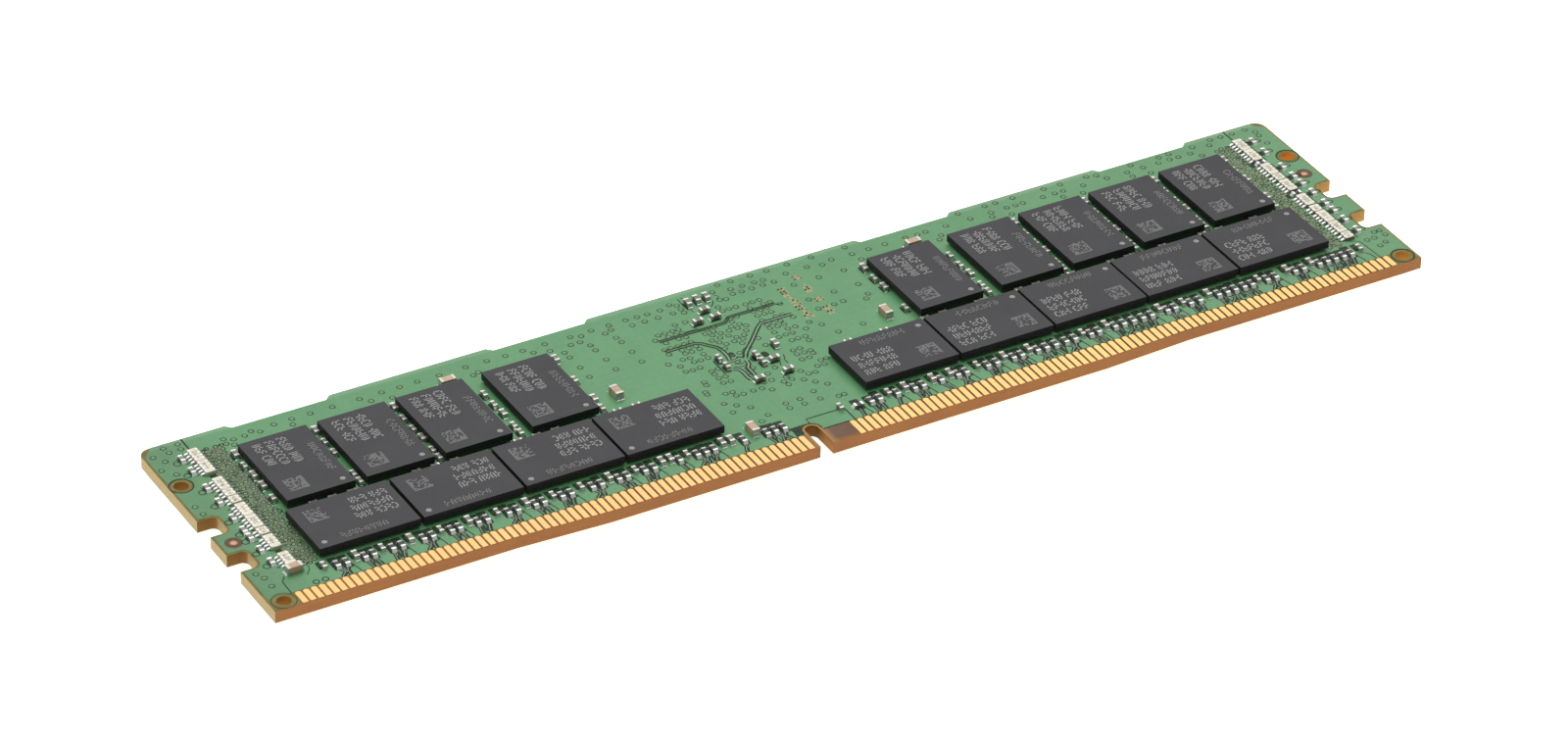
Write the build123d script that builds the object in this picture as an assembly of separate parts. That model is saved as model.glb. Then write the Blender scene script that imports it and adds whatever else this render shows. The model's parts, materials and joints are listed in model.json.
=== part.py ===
from build123d import *
import os

os.makedirs("parts", exist_ok=True)

# A 288-contact registered memory module (DDR4 outline), lying flat on its front memory chips.
# Everything is laid out in millimetres from the board corner where the left end meets the contact
# edge: x runs along the board, y from the contact edge up to the top edge, z through the board.
# save() then moves each piece so that the origin is at the bottom centre of the whole module.

# Board outline
BOARD_LENGTH = 133.35
BOARD_HEIGHT = 31.25
BOARD_THICK = 1.40
TOP_CORNER_RADIUS = 1.25
END_STEP = 0.50                       # the contact edge is this much shorter near both ends
STEP_FLAT_LEFT = 26.30
STEP_FULL_LEFT = 36.50
STEP_FULL_RIGHT = 94.30
STEP_FLAT_RIGHT = 104.50
RECESS_DEPTH = 0.60                   # shallow gripping recesses in the top edge, 45 degree ends
RECESS_WIDTH = 11.70
RECESS_OFFSETS = (-51.20, -21.70, 21.70, 51.20)
KEY_X = 61.10
KEY_WIDTH = 1.50
KEY_TOP = 3.75
LATCH_HEIGHTS = (9.50, 16.10)
LATCH_OPENING = 3.00
LATCH_DEPTH = 2.10
LATCH_RADIUS = 0.75
TOOL_HOLE_RADIUS = 0.75
TOOL_HOLES = ((1.30, 23.80), (1.57, 1.75), (132.05, 23.80), (131.80, 1.75))

# Layers of the board
MASK_THICK = 0.03
OUTER_PLY = 0.255
PLANE_THICK = 0.035
PLANE_INSET = 0.60
PLANE_LOW = 4.40
PLANE_HIGH = 30.20
MASK_LOW = 2.55                       # below this line the board is bare between the contacts
MASK_RIM = 0.25
MASK_HOLE_RADIUS = 1.15
MASK_CORNER_X = 1.55
MASK_CORNER_Y = 1.75
FIDUCIALS = ((1.55, 12.66), (131.65, 20.00))
FIDUCIAL_RADIUS = 0.42
FIDUCIAL_CLEAR = 0.90

# Edge contacts
CONTACT_PITCH = 0.85
CONTACT_WIDTH = 0.60
CONTACT_TOP = 2.50
CONTACT_BACKOFF = 0.06
CONTACT_THICK = 0.03
CONTACT_CORNER = 0.16
CONTACT_RUNS = ((3.35, 67), (65.40, 77))

# Memory packages: 78 balls in two banks of three columns, a die bonded through a slot
CHIP_WIDTH = 7.50
CHIP_LENGTH = 11.00
BALL_GAP = 0.28
SUBSTRATE_THICK = 0.17
MOULD_THICK = 0.70
CHIP_HEIGHT = BALL_GAP + SUBSTRATE_THICK + MOULD_THICK
DIE_WIDTH = 5.60
DIE_LENGTH = 9.20
DIE_THICK = 0.30
SLOT_WIDTH = 0.80
SLOT_LENGTH = 8.80
SEAL_BULGE = 0.10
PIN_MARK_RADIUS = 0.32
PIN_MARK_DEPTH = 0.03
PIN_MARK_INSET = 0.95
BALL_PITCH = 0.80
BALL_ROWS = 13
BALL_COLUMNS = (-3.2, -2.4, -1.6, 1.6, 2.4, 3.2)
BALL_RADIUS = 0.22
UPPER_CHIP_Y = 20.64
UPPER_CHIPS = (12.40, 21.19, 29.93, 39.68, 84.86, 94.62, 103.34, 112.04, 120.84)
LOWER_CHIP_Y = 10.02
LOWER_CHIPS = (13.26, 24.66, 36.02, 47.36, 74.78, 86.10, 97.40, 108.65, 119.98)
MIDDLE = BOARD_LENGTH / 2

# Register chip and serial presence detect chip, both on the front
REGISTER_X = 62.20
REGISTER_Y = 20.60
REGISTER_LENGTH = 13.50
REGISTER_WIDTH = 8.00
REGISTER_MOULD = 0.55
REGISTER_DIE = (5.20, 4.60, 0.28)
REGISTER_PITCH = 0.65
REGISTER_GRID = (19, 11)
SPD_X = 66.90
SPD_Y = 9.80
SPD_LENGTH = 3.00
SPD_WIDTH = 2.00
SPD_HEIGHT = 0.75
SPD_PADS = 4
SPD_PAD_PITCH = 0.50

# Chip parts: length, width, height, length of the metal on each end
LARGE_CAP = (1.65, 0.85, 0.80, 0.30)
CAP = (1.08, 0.56, 0.50, 0.26)
SMALL_CAP = (0.94, 0.46, 0.45, 0.24)
RESISTOR = (1.00, 0.50, 0.34, 0.24)
END_METAL = 0.03

# Resistor arrays: two or four resistors side by side, terminals along both long sides
ARRAY_WIDTH = 1.08
ARRAY_HEIGHT = 0.40
ARRAY_PITCH = 0.53
ARRAY_END = 0.06                      # ceramic beyond the terminal pitch at each end of the bar
ARRAY_FOOT = (0.28, 0.24)             # terminal width along the side and reach over the top
ARRAY_LEFT_X = 4.77
ARRAY_RIGHT_X = 128.61
ARRAYS_LEFT = ((27.60, 4), (25.32, 4), (21.97, 4), (20.21, 2), (18.91, 2), (16.96, 4),
               (14.65, 4), (12.80, 2), (10.84, 4), (7.55, 4))
ARRAYS_RIGHT = ((27.60, 4), (25.32, 4), (22.17, 4), (20.38, 2), (18.56, 4), (15.26, 4),
                (13.35, 2), (11.53, 4), (9.21, 4), (7.40, 2))

# Heights of the layers above the resting plane
BOARD_LOW = CHIP_HEIGHT
BOARD_TOP = BOARD_LOW + BOARD_THICK
CORE_LOW = BOARD_LOW + MASK_THICK + OUTER_PLY
CORE_TOP = BOARD_TOP - MASK_THICK - OUTER_PLY


# ---- helpers ---------------------------------------------------------------------------------

def save(name, shapes):
    """Write one node, moved from the board corner to the frame at the bottom centre."""
    shift = Location((-BOARD_LENGTH / 2, -BOARD_HEIGHT / 2, 0))
    solids = [solid.moved(shift) for shape in shapes for solid in shape.solids()]
    export_step(Compound(solids), f"parts/{name}.step")


def box(x, y, z, length, width, height):
    """A box centred on x, y and standing on z."""
    return Pos(x, y, z + height / 2) * Box(length, width, height)


def through_board(shapes):
    """Carry pieces made on the back face straight through the board to the front face."""
    middle = BOARD_LOW + BOARD_THICK / 2
    return [mirror(shape, Plane.XY.offset(middle)) for shape in shapes]


def placed(shape, x, y, turn, front=False):
    """Stand a piece made at the origin on the back face, or hang it upside down under the front."""
    if front:
        return shape.moved(Location((x, y, BOARD_LOW), (180, 0, turn)))
    return shape.moved(Location((x, y, BOARD_TOP), (0, 0, turn)))


def contact_edge(x):
    """Height of the contact edge at x: level, then a gentle slope, then level at both ends."""
    if x <= STEP_FLAT_LEFT or x >= STEP_FLAT_RIGHT:
        return END_STEP
    if x < STEP_FULL_LEFT:
        return END_STEP * (STEP_FULL_LEFT - x) / (STEP_FULL_LEFT - STEP_FLAT_LEFT)
    if x > STEP_FULL_RIGHT:
        return END_STEP * (x - STEP_FULL_RIGHT) / (STEP_FLAT_RIGHT - STEP_FULL_RIGHT)
    return 0.0


# ---- board -----------------------------------------------------------------------------------

def latch_cut(extra):
    """The four latch notches, grown by extra on every side."""
    depth = LATCH_DEPTH + extra
    height = LATCH_OPENING + 2 * extra
    cut = Sketch()
    for y in LATCH_HEIGHTS:
        for x in (0, BOARD_LENGTH):
            cut += Pos(x, y) * RectangleRounded(2 * depth, height, LATCH_RADIUS + extra)
    return cut


def key_cut(extra):
    """The keying slot with its round top, grown by extra on every side."""
    radius = KEY_WIDTH / 2 + extra
    top = KEY_TOP - KEY_WIDTH / 2
    slot = Pos(KEY_X, (top - 3) / 2) * Rectangle(2 * radius, top + 3)
    return slot + Pos(KEY_X, top) * Circle(radius)


def outline():
    """The board's plan shape with notches, key, top recesses and tooling holes."""
    edge = [
        (0, END_STEP),
        (STEP_FLAT_LEFT, END_STEP),
        (STEP_FULL_LEFT, 0),
        (STEP_FULL_RIGHT, 0),
        (STEP_FLAT_RIGHT, END_STEP),
        (BOARD_LENGTH, END_STEP),
        (BOARD_LENGTH, BOARD_HEIGHT),
        (0, BOARD_HEIGHT),
    ]
    plan = make_face(Polyline(*edge, close=True))
    corners = plan.vertices().filter_by(lambda v: abs(v.Y - BOARD_HEIGHT) < 0.01)
    plan = fillet(corners, TOP_CORNER_RADIUS)
    for offset_x in RECESS_OFFSETS:
        x = MIDDLE + offset_x
        half = RECESS_WIDTH / 2
        low = BOARD_HEIGHT - RECESS_DEPTH
        dip = [
            (x - half, BOARD_HEIGHT),
            (x + half, BOARD_HEIGHT),
            (x + half - RECESS_DEPTH, low),
            (x - half + RECESS_DEPTH, low),
        ]
        plan -= make_face(Polyline(*dip, close=True))
    plan -= latch_cut(0)
    plan -= key_cut(0)
    for x, y in TOOL_HOLES:
        plan -= Pos(x, y) * Circle(TOOL_HOLE_RADIUS)
    return plan


def plane_outline():
    """Inner copper sheet: held back from every cut edge, the holes and the contacts."""
    width = BOARD_LENGTH - 2 * PLANE_INSET
    height = PLANE_HIGH - PLANE_LOW
    plan = Pos(MIDDLE, (PLANE_HIGH + PLANE_LOW) / 2) * RectangleRounded(width, height, 1.0)
    plan -= latch_cut(PLANE_INSET)
    for x, y in TOOL_HOLES:
        plan -= Pos(x, y) * Circle(TOOL_HOLE_RADIUS + PLANE_INSET)
    return plan


def mask_outline():
    """Solder resist: open over the contacts, at the rims, notches, holes and fiducials."""
    plan = outline()
    plan -= Pos(MIDDLE, MASK_LOW / 2 - 1) * Rectangle(BOARD_LENGTH + 2, MASK_LOW + 2)
    plan -= latch_cut(MASK_RIM)
    plan -= key_cut(MASK_RIM)
    for x in (0, BOARD_LENGTH):
        side = 1 if x == 0 else -1
        plan -= Pos(x, BOARD_HEIGHT / 2) * Rectangle(2 * MASK_RIM, BOARD_HEIGHT)
        corner = [
            (x, BOARD_HEIGHT),
            (x + side * MASK_CORNER_X, BOARD_HEIGHT),
            (x, BOARD_HEIGHT - MASK_CORNER_Y),
        ]
        plan -= make_face(Polyline(*corner, close=True))
    for x, y in TOOL_HOLES:
        plan -= Pos(x, y) * Circle(MASK_HOLE_RADIUS)
    for x, y in FIDUCIALS:
        plan -= Pos(x, y) * Circle(FIDUCIAL_CLEAR)
    return plan


def board():
    """Three glass-fibre plies with a copper plane pressed into each outer ply."""
    plan = outline()
    copper = plane_outline()
    core = Pos(0, 0, CORE_LOW) * extrude(plan, CORE_TOP - CORE_LOW)
    back_ply = Pos(0, 0, CORE_TOP) * extrude(plan, OUTER_PLY)
    back_plane = Pos(0, 0, CORE_TOP) * extrude(copper, PLANE_THICK)
    back_ply -= back_plane
    save("laminate_core", [core])
    save("laminate_ply_back", [back_ply])
    save("ground_plane", [back_plane])
    save("laminate_ply_front", through_board([back_ply]))
    save("power_plane", through_board([back_plane]))


def board_faces():
    """Solder resist skins and the bare copper alignment dots."""
    skin = Pos(0, 0, BOARD_TOP - MASK_THICK) * extrude(mask_outline(), MASK_THICK)
    save("solder_mask_back", [skin])
    save("solder_mask_front", through_board([skin]))
    dots = []
    for x, y in FIDUCIALS:
        dots.append(Pos(x, y, BOARD_TOP - MASK_THICK / 2) * Cylinder(FIDUCIAL_RADIUS, MASK_THICK))
    save("fiducials_back", dots)
    save("fiducials_front", through_board(dots))


def contacts():
    """Two runs of gold contacts whose lower ends follow the sloping contact edge."""
    fingers = []
    z = BOARD_TOP - MASK_THICK
    for start, count in CONTACT_RUNS:
        for index in range(count):
            x = start + index * CONTACT_PITCH
            half = CONTACT_WIDTH / 2
            low_left = contact_edge(x - half) + CONTACT_BACKOFF
            low_right = contact_edge(x + half) + CONTACT_BACKOFF
            shape = [
                (x - half, low_left),
                (x + half, low_right),
                (x + half, CONTACT_TOP - CONTACT_CORNER),
                (x + half - CONTACT_CORNER, CONTACT_TOP),
                (x - half + CONTACT_CORNER, CONTACT_TOP),
                (x - half, CONTACT_TOP - CONTACT_CORNER),
            ]
            face = make_face(Polyline(*shape, close=True))
            fingers.append(Pos(0, 0, z) * extrude(face, CONTACT_THICK))
    save("edge_contacts_back", fingers)
    save("edge_contacts_front", through_board(fingers))


# ---- packages --------------------------------------------------------------------------------

def solder_ball(height):
    """A soldered ball: a round bead flattened where it meets the lands above and below."""
    bead = Pos(0, 0, height / 2) * Sphere(BALL_RADIUS)
    return bead & box(0, 0, 0, 2, 2, height)


def memory_package():
    """One memory package built at the origin, its long side along y, split into its pieces."""
    slot = Box(SLOT_WIDTH, SLOT_LENGTH, 4 * CHIP_HEIGHT)
    substrate = box(0, 0, BALL_GAP, CHIP_WIDTH, CHIP_LENGTH, SUBSTRATE_THICK) - slot
    top = BALL_GAP + SUBSTRATE_THICK
    die = box(0, 0, top, DIE_WIDTH, DIE_LENGTH, DIE_THICK)
    mould = box(0, 0, top, CHIP_WIDTH, CHIP_LENGTH, MOULD_THICK) - die
    mark_x = -CHIP_WIDTH / 2 + PIN_MARK_INSET
    mark_y = CHIP_LENGTH / 2 - PIN_MARK_INSET
    mould -= Pos(mark_x, mark_y, CHIP_HEIGHT) * Cylinder(PIN_MARK_RADIUS, 2 * PIN_MARK_DEPTH)
    seal_low = BALL_GAP - SEAL_BULGE
    seal = box(0, 0, seal_low, SLOT_WIDTH, SLOT_LENGTH, SEAL_BULGE + SUBSTRATE_THICK)
    one = solder_ball(BALL_GAP)
    balls = []
    for x in BALL_COLUMNS:
        for row in range(BALL_ROWS):
            y = (row - (BALL_ROWS - 1) / 2) * BALL_PITCH
            balls.append(one.moved(Location((x, y, 0))))
    return {"mould": [mould], "die": [die], "substrate": [substrate], "seal": [seal], "balls": balls}


def memory_places():
    """Centre and turn of every package: upper row upright, lower row lying along the board."""
    places = [(x, UPPER_CHIP_Y, 180) for x in UPPER_CHIPS]
    for x in LOWER_CHIPS:
        places.append((x, LOWER_CHIP_Y, 90 if x < MIDDLE else -90))
    return places


def memories():
    """Eighteen packages on each face; each kind of piece is one node per face."""
    names = {
        "mould": "memory_mould",
        "die": "memory_die",
        "substrate": "memory_substrate",
        "seal": "memory_slot_seal",
        "balls": "memory_balls",
    }
    for kind, shapes in memory_package().items():
        for face in ("back", "front"):
            front = face == "front"
            group = [placed(s, *place, front) for place in memory_places() for s in shapes]
            save(f"{names[kind]}_{face}", group)


def register_chip():
    """Register clock driver in the middle of the front: flip chip on a wide ball grid."""
    substrate = box(0, 0, BALL_GAP, REGISTER_LENGTH, REGISTER_WIDTH, SUBSTRATE_THICK)
    top = BALL_GAP + SUBSTRATE_THICK
    die = box(0, 0, top, *REGISTER_DIE)
    mould = box(0, 0, top, REGISTER_LENGTH, REGISTER_WIDTH, REGISTER_MOULD) - die
    mark_x = -REGISTER_LENGTH / 2 + PIN_MARK_INSET
    mark_y = REGISTER_WIDTH / 2 - PIN_MARK_INSET
    mark_z = top + REGISTER_MOULD
    mould -= Pos(mark_x, mark_y, mark_z) * Cylinder(PIN_MARK_RADIUS, 2 * PIN_MARK_DEPTH)
    one = solder_ball(BALL_GAP)
    balls = []
    columns, rows = REGISTER_GRID
    for column in range(columns):
        for row in range(rows):
            x = (column - (columns - 1) / 2) * REGISTER_PITCH
            y = (row - (rows - 1) / 2) * REGISTER_PITCH
            balls.append(one.moved(Location((x, y, 0))))
    pieces = {"mould": [mould], "die": [die], "substrate": [substrate], "balls": balls}
    for kind, shapes in pieces.items():
        save(f"register_{kind}", [placed(s, REGISTER_X, REGISTER_Y, 0, True) for s in shapes])


def presence_detect_chip():
    """Small leadless package on the front: a moulded body over a row of lands on each side."""
    lands = []
    land_length = 0.40
    land_width = 0.25
    land_height = 0.20
    for side in (-1, 1):
        for index in range(SPD_PADS):
            x = (index - (SPD_PADS - 1) / 2) * SPD_PAD_PITCH
            y = side * (SPD_WIDTH - land_length) / 2
            lands.append(box(x, y, 0, land_width, land_length, land_height))
    body = box(0, 0, 0.02, SPD_LENGTH, SPD_WIDTH, SPD_HEIGHT - 0.02)
    for land in lands:
        body -= land
    save("presence_detect_body", [placed(body, SPD_X, SPD_Y, 0, True)])
    save("presence_detect_lands", [placed(land, SPD_X, SPD_Y, 0, True) for land in lands])


# ---- chip parts ------------------------------------------------------------------------------

def chip_part(length, width, height, cap):
    """A ceramic body between two plated ends that stand slightly proud, lying along x."""
    body = box(0, 0, END_METAL, length - 2 * cap, width - 2 * END_METAL, height - 2 * END_METAL)
    ends = [box(side * (length - cap) / 2, 0, 0, cap, width, height) for side in (-1, 1)]
    return body, ends


def lane_parts():
    """Decoupling capacitors in the lanes between and beside the upper packages."""
    large, little = [], []
    lanes = (
        (8.25, (25.93, 21.80, 19.78), (23.70, 17.40)),
        (17.12, (25.93,), (23.70, 21.63, 17.40, 15.98)),
        (25.92, (25.93, 19.78), (23.70, 21.63, 17.40, 15.98)),
        (35.05, (19.78,), (23.70, 21.63, 17.40, 15.98)),
        (44.32, (25.93, 17.80), (21.68, 15.98)),
        (80.68, (25.93, 21.80), (23.70, 17.40)),
        (89.83, (19.78,), (23.70, 21.63, 17.40, 15.98)),
        (99.05, (25.93, 19.78), (23.70, 21.63, 17.40, 15.98)),
        (107.78, (25.93, 19.78), (23.70, 21.63, 17.40, 15.98)),
        (116.48, (25.93, 19.78), (23.70, 21.63, 17.40, 15.98)),
        (125.27, (25.93, 21.65, 17.70), (23.70, 15.90)),
    )
    for x, caps, smalls in lanes:
        large += [(x, y, 90) for y in caps]
        little += [(x - 0.1, y, 90) for y in smalls]
    return large, little


def middle_row_parts():
    """Small capacitors lying along the lane between the upper and lower packages."""
    y = 14.72
    open_middle = (49.0, 71.0)
    places = []
    for chip_x in LOWER_CHIPS:
        for step in (-2.02, 0.10, 2.22) if chip_x < MIDDLE else (-4.78, -2.62, 1.65):
            x = chip_x + step
            if not open_middle[0] < x < open_middle[1]:
                places.append((x, y, 0))
    return places


def contact_row_parts():
    """The crowded row above the contacts: capacitors and the data-line resistors."""
    cap_y = 4.95
    small_y = 4.84
    resistor_y = 4.50
    caps = (10.88, 16.83, 23.27, 29.66, 38.95, 44.90, 45.88, 51.80, 52.80,
            73.00, 76.25, 78.30, 84.74, 87.70, 97.03, 103.50, 109.52, 119.25, 122.24)
    smalls = (7.38, 13.72, 20.12, 26.38, 32.57, 35.74, 41.85, 47.72,
              65.42, 71.00, 81.50, 94.10, 106.35, 115.62, 128.35)
    pairs = ((8.65, 9.66), (11.64, 12.60), (14.66, 15.68), (18.04, 19.04), (21.10, 22.00),
             (24.02, 25.04), (27.40, 28.42), (30.38, 31.34), (33.38, 34.40), (36.78, 37.80),
             (39.76, 40.70), (42.70, 43.76), (48.68, 49.66), (57.62, 58.62), (68.76, 69.76),
             (73.86, 74.86), (78.96, 79.96), (82.50, 83.60), (85.58, 86.58), (88.46, 89.52),
             (91.90, 92.96), (94.86, 95.84), (97.80, 98.88), (101.20, 102.28), (104.20, 105.14),
             (107.06, 108.20), (110.50, 111.56), (113.66, 114.64), (116.52, 117.60),
             (119.98, 121.04), (123.00, 124.02), (125.04, 126.06))
    singles = (46.66, 50.60, 54.00, 56.68, 71.80, 76.98, 90.64, 100.04, 112.56, 127.06)
    resistors = [x for pair in pairs for x in pair] + list(singles)
    return (
        [(x, cap_y, 90) for x in caps],
        [(x, small_y, 90) for x in smalls],
        [(x, resistor_y, 90) for x in resistors] + [(67.30, 4.40, 0)],
    )


def end_resistors():
    """Single resistors outside the array columns, and two lying between the right arrays."""
    left = (27.80, 25.45, 22.15, 19.40, 16.30, 13.95, 12.60, 10.28, 7.95)
    right = (27.85, 25.53, 22.15, 20.05, 18.45, 16.35, 14.00, 12.40, 10.35, 8.00)
    between = (23.74, 16.94)
    return (
        [(3.27, y, 90) for y in left]
        + [(130.24, y, 90) for y in right]
        + [(ARRAY_RIGHT_X, y, 0) for y in between]
    )


def centre_parts():
    """Loose parts in the open middle of the back face."""
    large = [
        (62.40, 28.85, 90),
        (63.50, 28.85, 90),
        (61.28, 28.70, 90),
        (62.12, 26.75, 0),
        (60.50, 25.20, 0),
        (62.55, 25.20, 0),
        (65.42, 17.98, 90),
        (60.86, 13.12, 0),
        (64.26, 13.20, 0),
        (64.02, 15.65, 0),
    ]
    little = [(59.05, 18.30, 90), (59.05, 16.68, 90), (62.72, 17.12, 90), (62.72, 15.72, 90)]
    return large, little


def front_centre_parts():
    """Capacitors around the register chip on the front face."""
    large = [(x, y, 0) for x in (57.0, 59.6, 62.2, 64.8, 67.4) for y in (15.6, 25.7)]
    little = [(x, y, 90) for x in (54.2, 70.2) for y in (18.2, 20.6, 23.0)]
    return large, little


LARGE_CAP_PLACES = (
    (32.70, 27.32, 0),
    (87.50, 27.40, 0),
    (46.76, 17.58, 90),
    (78.32, 17.52, 90),
    (55.60, 5.42, 90),
    (4.60, 5.66, 0),
)


def save_parts(name, size, places, front):
    """Write the bodies and the end caps of one kind of chip part on one face."""
    body, ends = chip_part(*size)
    face = "front" if front else "back"
    save(f"{name}_bodies_{face}", [placed(body, *place, front) for place in places])
    save(f"{name}_ends_{face}", [placed(end, *place, front) for place in places for end in ends])


def chip_parts():
    """All two-terminal chip parts on both faces, one node per kind and material."""
    lane_caps, lane_smalls = lane_parts()
    row_caps, row_smalls, row_resistors = contact_row_parts()
    shared_caps = lane_caps + row_caps
    shared_smalls = lane_smalls + middle_row_parts() + row_smalls
    centre_caps, centre_smalls = centre_parts()
    front_caps, front_smalls = front_centre_parts()
    save_parts("capacitor", CAP, shared_caps + centre_caps, False)
    save_parts("capacitor", CAP, shared_caps + front_caps, True)
    save_parts("small_capacitor", SMALL_CAP, shared_smalls + centre_smalls, False)
    save_parts("small_capacitor", SMALL_CAP, shared_smalls + front_smalls, True)
    save_parts("resistor", RESISTOR, row_resistors + end_resistors(), False)
    save_parts("resistor", RESISTOR, row_resistors, True)
    save_parts("large_capacitor", LARGE_CAP, LARGE_CAP_PLACES, False)
    save_parts("large_capacitor", LARGE_CAP, LARGE_CAP_PLACES[:4], True)


def resistor_array(count):
    """One array lying along y: a ceramic bar with count terminals on each long side."""
    length = count * ARRAY_PITCH + 2 * ARRAY_END
    inner = ARRAY_WIDTH - 2 * END_METAL
    body = box(0, 0, END_METAL, inner, length, ARRAY_HEIGHT - 2 * END_METAL)
    foot_length, foot_reach = ARRAY_FOOT
    feet = []
    for side in (-1, 1):
        for index in range(count):
            x = side * (ARRAY_WIDTH - foot_reach) / 2
            y = (index - (count - 1) / 2) * ARRAY_PITCH
            feet.append(box(x, y, 0, foot_reach, foot_length, ARRAY_HEIGHT) - body)
    return body, feet


def resistor_arrays():
    """The two columns of arrays at the ends of the back face."""
    kinds = {count: resistor_array(count) for count in (2, 4)}
    bodies, feet = [], []
    for x, arrays in ((ARRAY_LEFT_X, ARRAYS_LEFT), (ARRAY_RIGHT_X, ARRAYS_RIGHT)):
        for y, count in arrays:
            body, ends = kinds[count]
            bodies.append(placed(body, x, y, 0))
            feet += [placed(end, x, y, 0) for end in ends]
    save("resistor_array_bodies", bodies)
    save("resistor_array_terminals", feet)


board()
board_faces()
contacts()
memories()
register_chip()
presence_detect_chip()
chip_parts()
resistor_arrays()
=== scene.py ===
import json
import math
import random

import bmesh
import bpy
from mathutils import Matrix, Vector

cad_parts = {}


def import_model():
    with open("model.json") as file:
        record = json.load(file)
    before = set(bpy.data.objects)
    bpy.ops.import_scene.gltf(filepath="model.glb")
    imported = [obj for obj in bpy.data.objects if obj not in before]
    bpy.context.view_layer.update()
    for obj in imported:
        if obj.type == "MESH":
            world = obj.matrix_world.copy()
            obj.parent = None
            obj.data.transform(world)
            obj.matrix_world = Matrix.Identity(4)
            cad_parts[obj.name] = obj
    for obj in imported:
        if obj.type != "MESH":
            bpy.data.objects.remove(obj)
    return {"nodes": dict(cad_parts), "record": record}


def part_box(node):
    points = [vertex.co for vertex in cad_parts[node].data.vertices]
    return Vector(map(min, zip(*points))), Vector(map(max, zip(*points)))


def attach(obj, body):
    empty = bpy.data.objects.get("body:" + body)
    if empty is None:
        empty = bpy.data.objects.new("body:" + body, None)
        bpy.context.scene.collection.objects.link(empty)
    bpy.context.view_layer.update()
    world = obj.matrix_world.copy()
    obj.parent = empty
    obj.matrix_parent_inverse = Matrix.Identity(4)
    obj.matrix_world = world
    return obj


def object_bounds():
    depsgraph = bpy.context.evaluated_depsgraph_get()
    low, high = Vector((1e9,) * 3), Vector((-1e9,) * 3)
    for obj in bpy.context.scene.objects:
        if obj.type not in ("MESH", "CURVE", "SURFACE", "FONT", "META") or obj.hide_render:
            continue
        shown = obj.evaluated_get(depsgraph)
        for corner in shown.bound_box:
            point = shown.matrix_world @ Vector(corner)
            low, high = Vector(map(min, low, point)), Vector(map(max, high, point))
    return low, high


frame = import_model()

# Registered memory module seen from its back face. Plan measures below are millimetres from the
# board corner where the left end meets the contact edge, and point() turns them into the frame.
CAD_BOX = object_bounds()
MM = 0.001
LOW = Vector(CAD_BOX[0])
HIGH = Vector(CAD_BOX[1])
BOARD_LENGTH = (HIGH.x - LOW.x) / MM
BOARD_HEIGHT = (HIGH.y - LOW.y) / MM
TOP_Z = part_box("solder_mask_back")[1][2]
LOW_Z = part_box("solder_mask_front")[0][2]
KEY_SLOT = 61.1  # middle of the key slot along the board
KEY_SLOT_X = LOW.x + KEY_SLOT * MM
# Tooling holes: place on the board, and base colour of the inside of the hole, which is painted light:
# floor light glowing through the laminate, dim at the left end and bright at the right.
TOOL_HOLES = (
    ((1.3, 23.8), (0.37, 0.175, 0.018)),
    ((1.57, 1.75), (0.4, 0.2, 0.022)),
    ((132.05, 23.8), (0.76, 0.31, 0.028)),
    ((131.8, 1.75), (0.62, 0.31, 0.04)),
)
FIDUCIALS = ((1.55, 12.66), (131.65, 20.00))
BARE_LINE = 2.55  # the resist's edge above the contacts
SEED = 288
dice = random.Random(SEED)


def point(x, y, lift=0.0, front=False):
    """A plan position in millimetres, lifted off the back or the front face."""
    z = LOW_Z - lift * MM if front else TOP_Z + lift * MM
    return Vector((LOW.x + x * MM, LOW.y + y * MM, z))


# ---- material kit ----

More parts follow.
